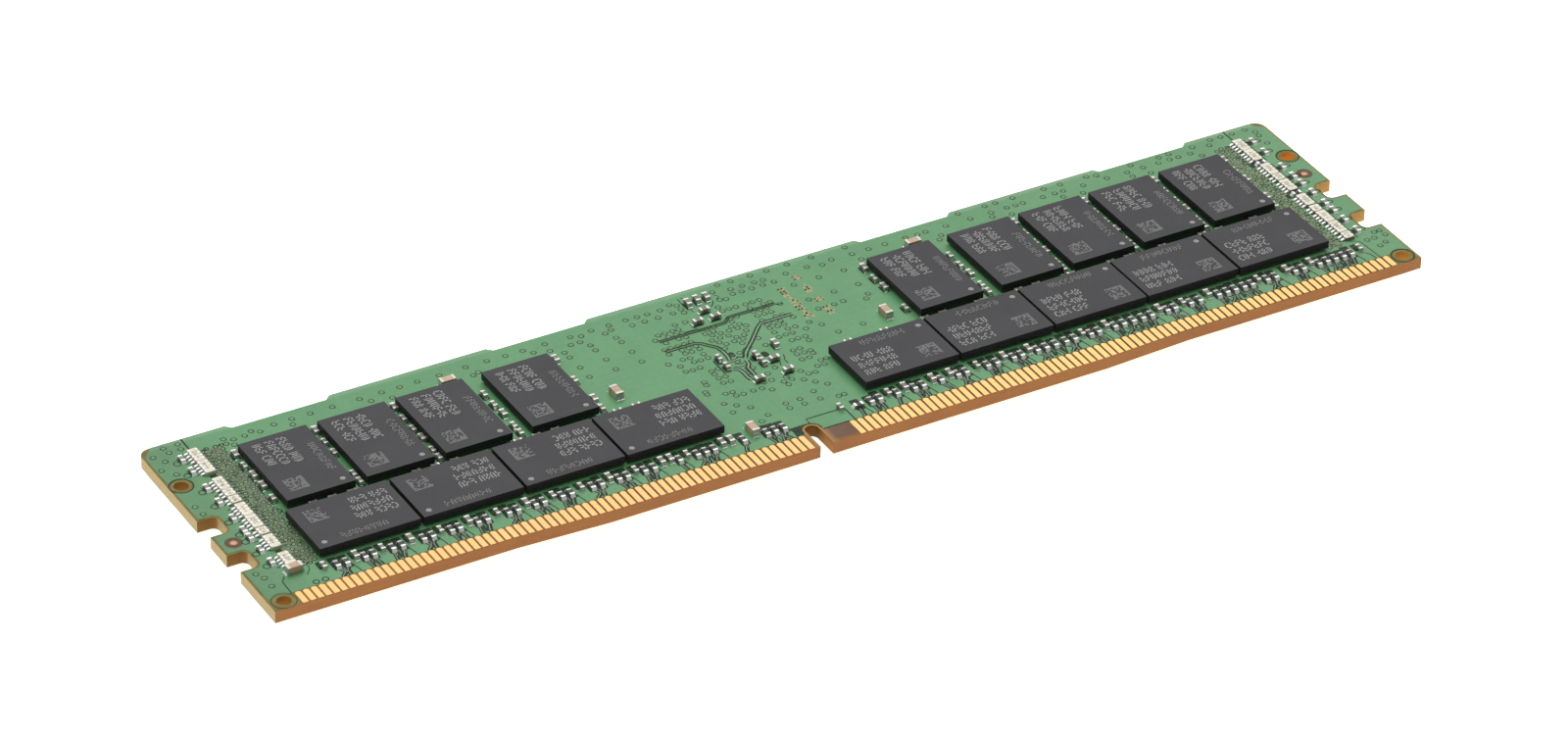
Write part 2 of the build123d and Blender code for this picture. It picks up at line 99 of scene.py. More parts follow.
class Nodes:
    """A short way to build one material's node tree."""

    def __init__(self, name):
        self.material = bpy.data.materials.new(name)
        self.material.use_nodes = True
        self.tree = self.material.node_tree
        self.shader = self.tree.nodes["Principled BSDF"]
        self.space = self.add("ShaderNodeTexCoord").outputs["Object"]

    def add(self, kind, **values):
        node = self.tree.nodes.new(kind)
        for key, value in values.items():
            setattr(node, key, value)
        return node

    def link(self, source, target):
        self.tree.links.new(source, target)

    def stretch(self, scale):
        """Object space in metres, multiplied per axis."""
        node = self.add("ShaderNodeMapping")
        node.inputs["Scale"].default_value = scale
        self.link(self.space, node.inputs["Vector"])
        return node.outputs["Vector"]

    def noise(self, scale, detail=3.0, rough=0.55, vector=None):
        node = self.add("ShaderNodeTexNoise")
        node.inputs["Scale"].default_value = scale
        node.inputs["Detail"].default_value = detail
        node.inputs["Roughness"].default_value = rough
        self.link(vector or self.space, node.inputs["Vector"])
        return node.outputs["Fac"]

    def cells(self, scale):
        node = self.add("ShaderNodeTexVoronoi")
        node.inputs["Scale"].default_value = scale
        self.link(self.space, node.inputs["Vector"])
        return node.outputs["Distance"]

    def wave(self, scale, direction, distortion=0.0):
        node = self.add("ShaderNodeTexWave", bands_direction=direction)
        node.inputs["Scale"].default_value = scale
        node.inputs["Distortion"].default_value = distortion
        node.inputs["Detail"].default_value = 1.0
        self.link(self.space, node.inputs["Vector"])
        return node.outputs["Fac"]

    def spread(self, value, low=0.3, high=0.7, to_low=0, to_high=1):
        """A value stretched from one range to another and held at its ends."""
        node = self.add("ShaderNodeMapRange")
        node.inputs["From Min"].default_value = low
        node.inputs["From Max"].default_value = high
        node.inputs["To Min"].default_value = to_low
        node.inputs["To Max"].default_value = to_high
        self.link(value, node.inputs["Value"])
        return node.outputs["Result"]

    def mix(self, factor, first, second, blend="MIX"):
        node = self.add("ShaderNodeMix", data_type="RGBA", blend_type=blend)
        for slot, item in ((0, factor), (6, first), (7, second)):
            if isinstance(item, (int, float)):
                node.inputs[slot].default_value = item
            elif isinstance(item, tuple):
                node.inputs[slot].default_value = (*item, 1.0)
            else:
                self.link(item, node.inputs[slot])
        return node.outputs[2]

    def maths(self, operation, first, second=0.0):
        node = self.add("ShaderNodeMath", operation=operation)
        for slot, item in enumerate((first, second)):
            if isinstance(item, (int, float)):
                node.inputs[slot].default_value = item
            else:
                self.link(item, node.inputs[slot])
        return node.outputs[0]

    def facing(self):
        """The surface normal's x, y and z."""
        split = self.add("ShaderNodeSeparateXYZ")
        self.link(self.add("ShaderNodeNewGeometry").outputs["Normal"], split.inputs[0])
        return split.outputs

    def place(self):
        """The object-space position's x, y and z in metres."""
        split = self.add("ShaderNodeSeparateXYZ")
        self.link(self.space, split.inputs[0])
        return split.outputs

    def level(self, low, high):
        """Zero on upright faces and one on level ones; the reverse when low is above high."""
        return self.spread(self.maths("ABSOLUTE", self.facing()[2]), low, high)

    def ramp(self, axis, start, end):
        """Zero at the start and one at the end: board places in mm along x (0) or y (1)."""
        return self.spread(self.place()[axis], LOW[axis] + start * MM, LOW[axis] + end * MM)

    def right_half(self):
        """Zero on the board's left half and one on its right half, blended over 20 mm."""
        return self.ramp(0, BOARD_LENGTH / 2 - 10, BOARD_LENGTH / 2 + 10)

    def both(self, first, second):
        return self.maths("MULTIPLY", first, second)

    def near(self, spot, inner, outer):
        """One inside a plan radius of a spot, falling to zero at the outer radius, in mm."""
        flat = self.stretch((1.0, 1.0, 0.0))
        node = self.add("ShaderNodeVectorMath", operation="DISTANCE")
        self.link(flat, node.inputs[0])
        node.inputs[1].default_value = (spot.x, spot.y, 0.0)
        return self.spread(node.outputs["Value"], inner * MM, outer * MM, 1, 0)

    def finish(self, colour, grain, rough, metal=0.0, specular=0.5):
        """The shader's colour, and a roughness that follows the grain between two values."""
        self.link(colour, self.shader.inputs["Base Color"])
        self.link(self.spread(grain, 0.3, 0.7, *rough), self.shader.inputs["Roughness"])
        self.shader.inputs["Metallic"].default_value = metal
        self.shader.inputs["Specular IOR Level"].default_value = specular

    def bump(self, height, strength, distance):
        node = self.add("ShaderNodeBump")
        node.inputs["Strength"].default_value = strength
        node.inputs["Distance"].default_value = distance * MM
        self.link(height, node.inputs["Height"])
        self.link(node.outputs["Normal"], self.shader.inputs["Normal"])


def grained(name, dark, light, noise, rough, specular=0.5, metal=0.0, relief=0.0, blend=(0.3, 0.7)):
    """A material whose single grain runs from dark to light and roughens the surface."""
    n = Nodes(name)
    grain = n.noise(*noise)
    base = n.mix(n.spread(grain, *blend), dark, light)
    n.finish(base, grain, rough, metal, specular)
    if relief:
        n.bump(grain, relief, 0.01)
    return n.material


def solder_resist():
    """Green resist: darker at the left end, warmer to the right, paler along the long edge."""
    n = Nodes("solder_resist_green")
    cloud = n.noise(160.0)
    fine = n.noise(2600.0, 4.0)
    weave = n.both(n.wave(330.0, "X", 1.2), n.wave(330.0, "Y", 1.2))
    base = n.mix(n.spread(cloud, 0.35, 0.65), (0.098, 0.29, 0.118), (0.114, 0.318, 0.133))
    base = n.mix(n.spread(fine, 0.3, 0.7, 0, 0.3), base, (0.08, 0.24, 0.096))
    base = n.mix(n.spread(weave, 0, 1, 0, 0.12), base, (0.145, 0.355, 0.16))
    base = n.mix(n.ramp(0, 7.0, 2.5), base, (0.9, 0.82, 0.83), "MULTIPLY")
    base = n.mix(n.ramp(0, 75.0, 120.0), base, (1.1, 0.99, 1.02), "MULTIPLY")
    base = n.mix(n.ramp(1, 30.5, 30.8), base, (1.6, 1.17, 1.45), "MULTIPLY")
    n.finish(base, fine, (0.38, 0.5), specular=0.42)
    n.bump(n.maths("ADD", weave, fine), 0.25, 0.02)
    return n.material


def crowded_resist():
    """Resist over the close wiring beside the resistor arrays: olive, mottled."""
    n = Nodes("resist_over_crowd")
    cloud = n.noise(820.0, 2.0, 0.6)
    fine = n.noise(3600.0, 2.0)
    base = n.mix(n.spread(cloud, 0.38, 0.6), (0.088, 0.132, 0.066), (0.148, 0.216, 0.112))
    base = n.mix(n.spread(fine, 0.45, 0.7, 0, 0.4), base, (0.11, 0.092, 0.05))
    base = n.mix(n.right_half(), base, (1.28, 1.28, 1.24), "MULTIPLY")
    n.finish(base, fine, (0.4, 0.55), specular=0.38)
    n.bump(cloud, 0.4, 0.02)
    return n.material


def laminate_edge(n, layers, grain, from_key):
    """Cut walls: tan at the ends, orange along the contact edge, browner in slot and notches.

    The orange round the key slot isn't limited in height: it also shows on the long edge.
    """
    side = n.mix(n.spread(layers, 0, 1, 0, 0.5), (0.46, 0.342, 0.148), (0.38, 0.262, 0.096))
    side = n.mix(n.spread(grain, 0.35, 0.7, 0, 0.5), side, (0.54, 0.43, 0.21))
    side = n.mix(n.spread(from_key, 0.0022, 0.0045, 1, 0), side, (0.42, 0.17, 0.03))
    # The face turned to the contacts is orange partly in its own right and partly as painted glow: floor
    # light shining through the laminate.
    lower = n.mix(n.spread(layers, 0, 1, 0, 0.6), (0.366, 0.137, 0.029), (0.256, 0.086, 0.017))
    lower = n.mix(n.spread(grain, 0.35, 0.7, 0, 0.45), lower, (0.444, 0.195, 0.056))
    lower = n.mix(n.spread(n.noise(120.0, 2.0), 0.4, 0.65, 0, 0.4), lower, (0.428, 0.175, 0.036))
    faces_contacts = n.spread(n.facing()[1], -0.25, -0.75)
    edge = n.mix(faces_contacts, side, lower)
    # Painted shade in the key slot's round head, a recess the light hardly reaches.
    slot_head_shade = n.both(n.spread(from_key, 0.001, 0.0012, 1, 0), n.ramp(1, 1.7, 3.0))
    edge = n.mix(slot_head_shade, edge, (0.195, 0.082, 0.008))
    above_contacts = n.ramp(1, 4.0, 5.0)
    # Painted light: the right end's walls above the contacts are coloured a brighter orange, lit where
    # the left end is in shade.
    right_end_light = n.both(above_contacts, n.ramp(0, 130.675, 131.275))
    edge = n.mix(right_end_light, edge, (0.56, 0.31, 0.08))
    # Painted shade: the left end's notch walls that face the contacts are coloured dark brown.
    left_notch_shade = n.both(above_contacts, n.ramp(0, 2.675, 2.075))
    edge = n.mix(n.both(left_notch_shade, faces_contacts), edge, (0.235, 0.105, 0.012))
    # Painted glow inside the holes: floor light shining through the laminate.
    for (x, y), tone in TOOL_HOLES:
        edge = n.mix(n.near(point(x, y), 1.0, 1.1), edge, tone)
    return edge


def laminate_face(n, from_key):
    """Bare faces: olive, brown between the contacts and round the key slot."""
    face = n.mix(n.spread(n.noise(900.0), 0.35, 0.65), (0.158, 0.132, 0.028), (0.225, 0.182, 0.046))
    face = n.mix(n.ramp(0, 133.025, 133.095), face, (0.28, 0.215, 0.07))
    gaps = n.mix(n.ramp(0, 45.0, 12.0), (0.15, 0.072, 0.014), (0.29, 0.145, 0.032))
    gaps = n.mix(n.ramp(0, 75.0, 110.0), gaps, (0.095, 0.04, 0.008))
    off_corners = n.spread(n.maths("ABSOLUTE", n.place()[0]), 0.0633, 0.0636, 1, 0)
    face = n.mix(n.both(n.ramp(1, 2.56, 2.5), off_corners), face, gaps)
    face = n.mix(n.spread(from_key, 0.004, 0.0046, 1, 0), face, (0.155, 0.084, 0.046))
    face = n.mix(n.ramp(1, 0.5, 0.3), face, (0.28, 0.105, 0.026))
    face = n.mix(n.spread(from_key, 0.001, 0.0016, 1, 0), face, (0.34, 0.165, 0.075))
    face = n.mix(n.spread(from_key, 0.0009, 0.001, 1, 0), face, (0.4, 0.21, 0.05))
    for x, y in FIDUCIALS:
        face = n.mix(n.near(point(x, y), 0.95, 1.05), face, (0.13, 0.066, 0.032))
    return face


def glass_laminate():
    """Bare glass laminate, its glass layers showing on every cut wall."""
    n = Nodes("glass_laminate_cut")
    layers = n.wave(2100.0, "Z", 2.5)
    grain = n.noise(1500.0, 5.0, 0.65, n.stretch((0.25, 0.25, 2.2)))
    from_key = n.maths("ABSOLUTE", n.maths("SUBTRACT", n.place()[0], KEY_SLOT_X))
    flat = n.level(0.4, 0.8)
    colour = n.mix(flat, laminate_edge(n, layers, grain, from_key), laminate_face(n, from_key))
    n.finish(colour, grain, (0.5, 0.7), specular=0.3)
    n.bump(n.maths("ADD", layers, grain), 0.5, 0.03)
    return n.material


def contact_gold():
    """Gold plate, wiped lengthwise and a little deeper in tone to the left."""
    n = Nodes("contact_gold_plate")
    wipe = n.noise(1100.0, 3.0, 0.6, n.stretch((3.5, 0.25, 1.0)))
    speck = n.noise(5200.0, 2.0)
    base = n.mix(n.spread(wipe, 0.35, 0.65), (0.8, 0.47, 0.16), (0.86, 0.54, 0.21))
    base = n.mix(n.spread(speck, 0.62, 0.75, 0, 0.4), base, (0.64, 0.36, 0.1))
    base = n.mix(n.ramp(0, 95.0, 35.0), base, (0.99, 0.885, 0.95), "MULTIPLY")
    n.finish(base, wipe, (0.32, 0.48), metal=0.75, specular=0.6)
    n.bump(wipe, 0.15, 0.01)
    return n.material


def bare_copper():
    """Etched copper, tarnished towards the rim of each alignment dot."""
    n = Nodes("bare_copper_dot")
    fine = n.noise(4200.0)
    base = n.mix(n.spread(fine), (0.43, 0.24, 0.155), (0.54, 0.32, 0.22))
    for x, y in FIDUCIALS:
        rim = n.maths("SUBTRACT", n.near(point(x, y), 0.42, 0.5), n.near(point(x, y), 0.24, 0.36))
        base = n.mix(rim, base, (0.26, 0.135, 0.075))
    n.finish(base, fine, (0.3, 0.5), metal=0.6)
    return n.material


def mould_compound():
    """Matt black moulding with pale filler specks; its walls are painted much darker as shade."""
    n = Nodes("mould_compound_matt")
    grain = n.noise(6500.0, 3.0, 0.6)
    filler = n.cells(9000.0)
    top = n.mix(n.spread(n.noise(240.0), 0.35, 0.65), (0.04, 0.04, 0.043), (0.048, 0.048, 0.051))
    top = n.mix(n.spread(grain, 0.35, 0.7, 0, 0.5), top, (0.06, 0.06, 0.064))
    top = n.mix(n.spread(filler, 0.0, 0.15, 0.25, 0), top, (0.105, 0.105, 0.107))
    # Painted shade: the upright sides are coloured far darker than the top.
    shaded_wall = n.mix(n.spread(grain, 0.35, 0.7), (0.011, 0.011, 0.012), (0.022, 0.022, 0.023))
    flat = n.level(0.3, 0.9)
    n.finish(n.mix(flat, shaded_wall, top), grain, (0.55, 0.72), specular=0.35)
    n.bump(n.maths("ADD", grain, filler), 0.35, 0.012)
    return n.material


def tin(name, dark, light, rough, metal, darker_band=None):
    """Tin plate; between the two board heights of a band, in mm, its colour is darker."""
    n = Nodes(name)
    grain = n.noise(5200.0, 4.0, 0.65)
    base = n.mix(n.spread(grain), dark, light)
    if darker_band:
        foot, head = darker_band
        band = n.both(n.ramp(1, foot, foot + 0.03), n.ramp(1, head + 0.03, head))
        base = n.mix(band, base, (0.4, 0.4, 0.38))
    n.finish(base, grain, rough, metal, 0.6)
    n.bump(grain, 0.3, 0.01)
    return n.material


def ceramic(name, dark, light, left_wall_shade=1.0, right_wall_shade=1.0):
    """Fired ceramic with a fine grain; side walls can be painted darker as shade, by a different share on
    each board half.
    """
    n = Nodes(name)
    grain = n.noise(4600.0, 4.0, 0.7)
    base = n.mix(n.spread(n.noise(500.0, 2.0), 0.35, 0.65), dark, light)
    base = n.mix(n.spread(grain, 0.45, 0.75, 0, 0.35), base, tuple(0.75 * c for c in dark))
    upright = n.level(0.8, 0.3)
    walls = n.mix(n.right_half(), (left_wall_shade,) * 3, (right_wall_shade,) * 3)
    base = n.mix(upright, base, walls, "MULTIPLY")
    n.finish(base, grain, (0.47, 0.63), specular=0.45)
    n.bump(grain, 0.25, 0.01)
    return n.material


def resistor_glass():
    """Black glass overcoat, browner on the parts nearest the ends, pale ceramic round its foot."""
    n = Nodes("resistor_black_glass")
    grain = n.noise(4200.0)
    black = n.mix(n.spread(grain), (0.01, 0.01, 0.012), (0.026, 0.026, 0.03))
    outmost = n.spread(n.maths("ABSOLUTE", n.place()[0]), 0.0627, 0.0631)
    black = n.mix(outmost, black, n.mix(n.spread(grain), (0.21, 0.18, 0.14), (0.34, 0.3, 0.245)))
    pale = n.mix(n.spread(grain), (0.22, 0.21, 0.2), (0.32, 0.31, 0.29))
    flat = n.level(0.3, 0.8)
    n.finish(n.mix(flat, pale, black), grain, (0.22, 0.4))
    return n.material


MATERIALS = {
    "glass_laminate": glass_laminate(),
    "inner_copper": bare_copper(),
    "solder_resist": solder_resist(),
    "bare_copper": bare_copper(),
    "contact_gold": contact_gold(),
    "mould_compound": mould_compound(),
    "package_substrate": grained(
        "package_substrate_dark", (0.012, 0.02, 0.011), (0.03, 0.045, 0.024), (4000.0,), (0.5, 0.5), 0.4
    ),
    "silicon": grained(
        "silicon_die_grey", (0.1, 0.11, 0.13), (0.16, 0.17, 0.2), (900.0, 2.0), (0.2, 0.2), metal=0.4
    ),
    "solder": tin("solder_grey", (0.42, 0.42, 0.42), (0.62, 0.62, 0.61), (0.3, 0.5), 0.85),
    "tinned_ends": tin("tin_plate", (0.66, 0.66, 0.65), (0.86, 0.86, 0.84), (0.26, 0.42), 0.92),
    "capacitor_ceramic": ceramic("capacitor_grey", (0.19, 0.172, 0.142), (0.27, 0.248, 0.208)),
    "large_capacitor_ceramic": ceramic("capacitor_tan", (0.52, 0.35, 0.235), (0.62, 0.43, 0.3)),
    "resistor_black": resistor_glass(),
    # The arrays' side walls are painted dark as shade, far darker on the right half.
    "array_ceramic": ceramic("array_cream", (0.74, 0.68, 0.545), (0.87, 0.82, 0.68), 0.8, 0.28),
}
DULL_TIN = tin("tin_dull", (0.5, 0.465, 0.41), (0.64, 0.6, 0.54), (0.35, 0.5), 0.7)
CREAM_TIN = tin("tin_on_cream", (0.74, 0.73, 0.65), (0.84, 0.83, 0.75), (0.35, 0.5), 0.35)
SOFT_TIN = tin("tin_soft", (0.52, 0.52, 0.49), (0.68, 0.68, 0.64), (0.3, 0.45), 0.85)
ROW_TIN = tin("tin_row", (0.66, 0.66, 0.65), (0.86, 0.86, 0.84), (0.26, 0.42), 0.92, (4.68, 5.12))
SOLDER_JOINT = tin("solder_joint", (0.6, 0.6, 0.59), (0.8, 0.8, 0.79), (0.18, 0.34), 0.95)
PALE_JOINT = tin("solder_joint_pale", (0.82, 0.84, 0.8), (0.9, 0.92, 0.88), (0.28, 0.42), 0.25)
ARRAY_MARK = ceramic("array_print_grey", (0.4, 0.38, 0.32), (0.5, 0.48, 0.41))
CROWD = crowded_resist()

# Resist in the sunk ring of a via, over its filled heart, over close wiring and painted shade,
# and over a raised line painted pale as a highlight.
RIM = grained("resist_via_rim", (0.018, 0.048, 0.021), (0.036, 0.08, 0.036), (3000.0,), (0.45, 0.6), 0.3)
HEART = grained("resist_over_via", (0.18, 0.36, 0.18), (0.24, 0.42, 0.23), (2800.0,), (0.34, 0.46))
WIRING_AND_SHADE = grained(
    "resist_over_wiring_and_shade", (0.01, 0.026, 0.011), (0.034, 0.064, 0.03), (2400.0, 4.0), (0.5, 0.7), 0.18,
    relief=0.3,
)
RIDGE_HIGHLIGHT = grained(
    "resist_ridge_highlight", (0.25, 0.31, 0.225), (0.38, 0.44, 0.34), (2800.0,), (0.28, 0.42), 0.6
)

# Resist over signs etched in the copper, then the two depths of laser marking.
COPPER_SIGN = grained(
    "resist_over_sign", (0.27, 0.32, 0.145), (0.5, 0.33, 0.16), (1400.0,), (0.4, 0.52), 0.42,
    blend=(0.35, 0.6),
)
MARK, FAINT = (
    grained(name, dark, light, (9000.0, 3.0, 0.7), (0.8, 0.8), 0.25, relief=0.4, blend=(0.35, 0.65))
    for name, dark, light in (
        ("laser_mark_grey", (0.265, 0.265, 0.262), (0.38, 0.38, 0.375)),
        ("laser_mark_faint", (0.155, 0.155, 0.155), (0.245, 0.245, 0.243)),
    )
)

SPECIAL = {
    "resistor_array_terminals": CREAM_TIN,
    "large_capacitor_ends_back": DULL_TIN,
    "large_capacitor_ends_front": DULL_TIN,
    "capacitor_ends_back": SOFT_TIN,
    "small_capacitor_ends_back": SOFT_TIN,
    "resistor_ends_back": ROW_TIN,
}
# Bevel widths in mm on the CAD pieces; the ends of chip parts all share one.
END_BEVEL = 0.035
BEVELS = {
    "memory_mould_back": 0.05,
    "memory_mould_front": 0.05,
    "register_mould": 0.05,
    "edge_contacts_back": 0.008,
    "edge_contacts_front": 0.008,
}

for row in frame["record"]["subparts"]:
    cad = frame["nodes"][row["node"]]
    cad.data.materials.clear()
    cad.data.materials.append(SPECIAL.get(row["node"], MATERIALS[row["material_slot"]]))
    width = BEVELS.get(row["node"], END_BEVEL if "_ends_" in row["node"] else 0)
    if width:
        bevel = cad.modifiers.new("soft_edge", "BEVEL")
        bevel.width = width * MM
        bevel.segments = 2
        bevel.limit_method = "ANGLE"
        bevel.angle_limit = math.radians(40)


# ---- mesh kit ----

def sideways(path):
    """For every point of a plan path, the unit direction to its left."""
    for i in range(len(path)):
        x0, y0 = path[max(i - 1, 0)]
        x1, y1 = path[min(i + 1, len(path) - 1)]
        size = math.hypot(x1 - x0, y1 - y0) or 1.0
        yield -(y1 - y0) / size, (x1 - x0) / size


def show(name, data):
    """A new object with this data in the scene."""
    item = bpy.data.objects.new(name, data)
    bpy.context.scene.collection.objects.link(item)
    return item


class Heap:
    """Collects many small closed solids into one mesh."""

    def __init__(self):
        self.verts = []
        self.faces = []

    def add(self, verts, faces):
        start = len(self.verts)
        self.verts += verts
        self.faces += [tuple(start + i for i in face) for face in faces]

    def bar(self, verts):
        """A solid through successive sections of four corners each."""
        last = len(verts) - 4
        faces = []
        for a in range(0, last, 4):
            faces += [(a + k, a + (k + 1) % 4, a + 4 + (k + 1) % 4, a + 4 + k) for k in range(4)]
        faces += [(0, 1, 2, 3), (last, last + 1, last + 2, last + 3)]
        self.add(verts, faces)

    def slab(self, outline, low, high, front=False, inset=0.0):
        """A thin plate on a face from a plan outline, its upper edge drawn in by inset."""
        count = len(outline)
        cx = sum(p[0] for p in outline) / count
        cy = sum(p[1] for p in outline) / count
        verts = [point(x, y, low, front) for x, y in outline]
        for x, y in outline:
            reach = math.hypot(x - cx, y - cy) or 1.0
            keep = 1 - inset / reach
            verts.append(point(cx + (x - cx) * keep, cy + (y - cy) * keep, high, front))
        faces = [tuple(range(count)), tuple(range(count, 2 * count))]
        faces += [(i, (i + 1) % count, count + (i + 1) % count, count + i) for i in range(count)]
        self.add(verts, faces)

    def ring(self, x, y, inner, outer, height, front=False, sides=18):
        """A rounded ring lying on a face: the rim of a via under the resist."""
        middle = (inner + outer) / 2
        profile = ((outer, 0.0), (middle, height), (inner, 0.0005))
        verts, faces = [], []
        for i in range(sides):
            turn = math.tau * i / sides
            for radius, lift in profile:
                verts.append(point(x + radius * math.cos(turn), y + radius * math.sin(turn), lift, front))
        for i in range(sides):
            a, b = 3 * i, 3 * ((i + 1) % sides)
            faces += [(a, b, b + 1, a + 1), (a + 1, b + 1, b + 2, a + 2), (a + 2, b + 2, b, a)]
        self.add(verts, faces)

    def ribbon(self, path, width, height):
        """A trace along a plan path: a low ridge with sloping sides."""
        verts = []
        for (x, y), (nx, ny) in zip(path, sideways(path)):
            for share, lift in ((0.5, 0.0), (0.3, height), (-0.3, height), (-0.5, 0.0)):
                reach = share * width
                verts.append(point(x + nx * reach, y + ny * reach, lift))
        self.bar(verts)

    def piece(self, name, material, slot, smooth=False):
        """One mesh object in the frame, riding on the module."""
        mesh = bpy.data.meshes.new(name)
        mesh.from_pydata(self.verts, [], self.faces)
        mesh.materials.append(material)
        mesh.validate()
        tidy = bmesh.new()
        tidy.from_mesh(mesh)
        bmesh.ops.recalc_face_normals(tidy, faces=tidy.faces)
        tidy.to_mesh(mesh)
        tidy.free()
        for polygon in mesh.polygons:
            polygon.use_smooth = smooth
        piece = show(name, mesh)
        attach(piece, "root")


def islands(node):
    """Plan boxes, in board millimetres, of the separate solids in one CAD node."""
    mesh = frame["nodes"][node].data
    spots = [tuple(round(c, 7) for c in v.co) for v in mesh.vertices]
    parent = {spot: spot for spot in spots}

    def root(spot):
        while parent[spot] != spot:
            parent[spot] = parent[parent[spot]]
            spot = parent[spot]
        return spot

    for edge in mesh.edges:
        first, second = edge.vertices
        parent[root(spots[first])] = root(spots[second])
    groups = {}
    for spot, v in zip(spots, mesh.vertices):
        groups.setdefault(root(spot), []).append(v.co)
    boxes = []
    for points in groups.values():
        xs = [(p.x - LOW.x) / MM for p in points]
        ys = [(p.y - LOW.y) / MM for p in points]
        zs = [p.z / MM for p in points]
        boxes.append((min(xs), min(ys), min(zs), max(xs), max(ys), max(zs)))
    return sorted(boxes)


def middle(b):
    return ((b[0] + b[3]) / 2, (b[1] + b[4]) / 2)


# ---- solder at every chip part ----

# Fillet profiles: share of the run outwards, then share of the rise still standing there.
HOLLOW = ((0.0, 1.0), (0.25, 0.45), (0.6, 0.16), (1.0, 0.04))
FULL = ((0.0, 1.0), (0.35, 0.7), (0.75, 0.28), (1.0, 0.06))
LOW_PAD = ((0.0, 1.0), (0.35, 0.85), (0.8, 0.6), (1.0, 0.2))


def fillet(heap, cx, cy, dx, dy, width, rise, run, front, profile):
    """A solder wedge from a plated end down to its land, pointing along dx, dy."""
    verts = []
    for share, level in profile:
        half = width / 2 * (1.0 + 0.1 * share)
        px, py = cx + dx * run * share, cy + dy * run * share
        for side, lift in ((1, 0.0), (0.86, level * rise), (-0.86, level * rise), (-1, 0.0)):
            verts.append(point(px - dy * half * side, py + dx * half * side, lift, front))
    heap.bar(verts)


def nearest(spot, others):
    """The closest of other plan points."""
    return min(others, key=lambda o: (o[0] - spot[0]) ** 2 + (o[1] - spot[1]) ** 2)


def solder_joints(kind, face, rise, run, profile, material):
    """Fillets outside the ends of every chip part of one kind."""
    front = face == "front"
    bodies = [middle(b) for b in islands(f"{kind}_bodies_{face}")]
    heap = Heap()
    for end in islands(f"{kind}_ends_{face}"):
        cx, cy = middle(end)
        bx, by = nearest((cx, cy), bodies)
        along_x = abs(cx - bx) > abs(cy - by)
        dx, dy = (math.copysign(1, cx - bx), 0) if along_x else (0, math.copysign(1, cy - by))
        reach = (end[3] - end[0]) / 2 if along_x else (end[4] - end[1]) / 2
        width = (end[4] - end[1]) if along_x else (end[3] - end[0])
        fillet(heap, cx + dx * reach, cy + dy * reach, dx, dy, width, rise, run, front, profile)
    heap.piece(f"solder_joints_{kind}_{face}", material, "solder")


for face in ("back", "front"):
    solder_joints("capacitor", face, 0.3, 0.16, HOLLOW, SOLDER_JOINT)
    solder_joints("small_capacitor", face, 0.26, 0.12, HOLLOW, SOLDER_JOINT)
    solder_joints("resistor", face, 0.31, 0.22, FULL, PALE_JOINT)
    solder_joints("large_capacitor", face, 0.45, 0.22, HOLLOW, SOLDER_JOINT)

ARRAY_ENDS = islands("resistor_array_terminals")
ARRAY_BARS = [middle(b) for b in islands("resistor_array_bodies")]
array_joints = Heap()
# Width, rise, run and profile of the joints on an array's right and on its left side.
RIGHT_JOINT = (0.25, 0.38, 0.3, FULL)
LEFT_JOINT = (0.27, 0.2, 0.43, LOW_PAD)
for end in ARRAY_ENDS:
    cx, cy = middle(end)
    bx = nearest((cx, cy), ARRAY_BARS)[0]
    dx = math.copysign(1, cx - bx)
    width, rise, run, profile = RIGHT_JOINT if dx > 0 else LEFT_JOINT
    outer = cx + dx * (end[3] - end[0]) / 2
    fillet(array_joints, outer, cy, dx, 0, width, rise, run, False, profile)
array_joints.piece("solder_joints_arrays", PALE_JOINT, "solder")


# ---- marks on the packages ----

MARK_LIFT = 0.004  # marks stand this far off a package and reach as far into it
PIN_DOT_SIDES = 20
PIN_DOT_RADIUS = 0.31
PIN_DOT_LEVELS = (-0.032, -0.022)  # across the floor of the dimple, 0.03 deep


class ChipFace:
    """Plan coordinates on one package: u along its long side and v across, as the marks read."""

    def __init__(self, box, front):
        self.box = box
        self.front = front
        self.upright = box[4] - box[1] < box[3] - box[0]
        self.flipped = self.upright and middle(box)[0] > BOARD_LENGTH / 2
        self.lift = (LOW_Z / MM - box[2]) if front else (box[5] - TOP_Z / MM)

    def plan(self, u, v):
        x0, y0, _, x1, y1, _ = self.box
        if not self.upright:
            x, y = x1 - v, y0 + u
        elif self.flipped:
            x, y = x1 - u, y1 - v
        else:
            x, y = x0 + u, y0 + v
        return (x0 + x1 - x, y) if self.front else (x, y)

    def bar(self, heap, u, v, width, height):
        corners = [(u, v), (u + width, v), (u + width, v + height), (u, v + height)]
        outline = [self.plan(*c) for c in corners]
        heap.slab(outline, self.lift - MARK_LIFT, self.lift + MARK_LIFT, self.front, 0.008)


# Abstract signs in a unit cell: bars as left, bottom, width and height. They are drawn at random
# and stand for nothing, though a few of them look like a block letter when turned half round.
STROKE = 0.3
LOW_BAR = (0.0, 0.0, 1.0, 0.16)
MID_BAR = (0.0, 0.42, 1.0, 0.16)
TOP_BAR = (0.0, 0.84, 1.0, 0.16)
LEFT_BAR = (0.0, 0.0, STROKE, 1.0)
RIGHT_BAR = (1.0 - STROKE, 0.0, STROKE, 1.0)
SIGNS = (
    (TOP_BAR, LEFT_BAR, RIGHT_BAR),
    (TOP_BAR, LOW_BAR, RIGHT_BAR),
    (LEFT_BAR, MID_BAR),
    (RIGHT_BAR, MID_BAR, TOP_BAR),
    (TOP_BAR, LOW_BAR, LEFT_BAR, (0.62, 0.0, 0.22, 1.0)),
    (LOW_BAR, MID_BAR, RIGHT_BAR),
    (LEFT_BAR, RIGHT_BAR, LOW_BAR, MID_BAR),
)


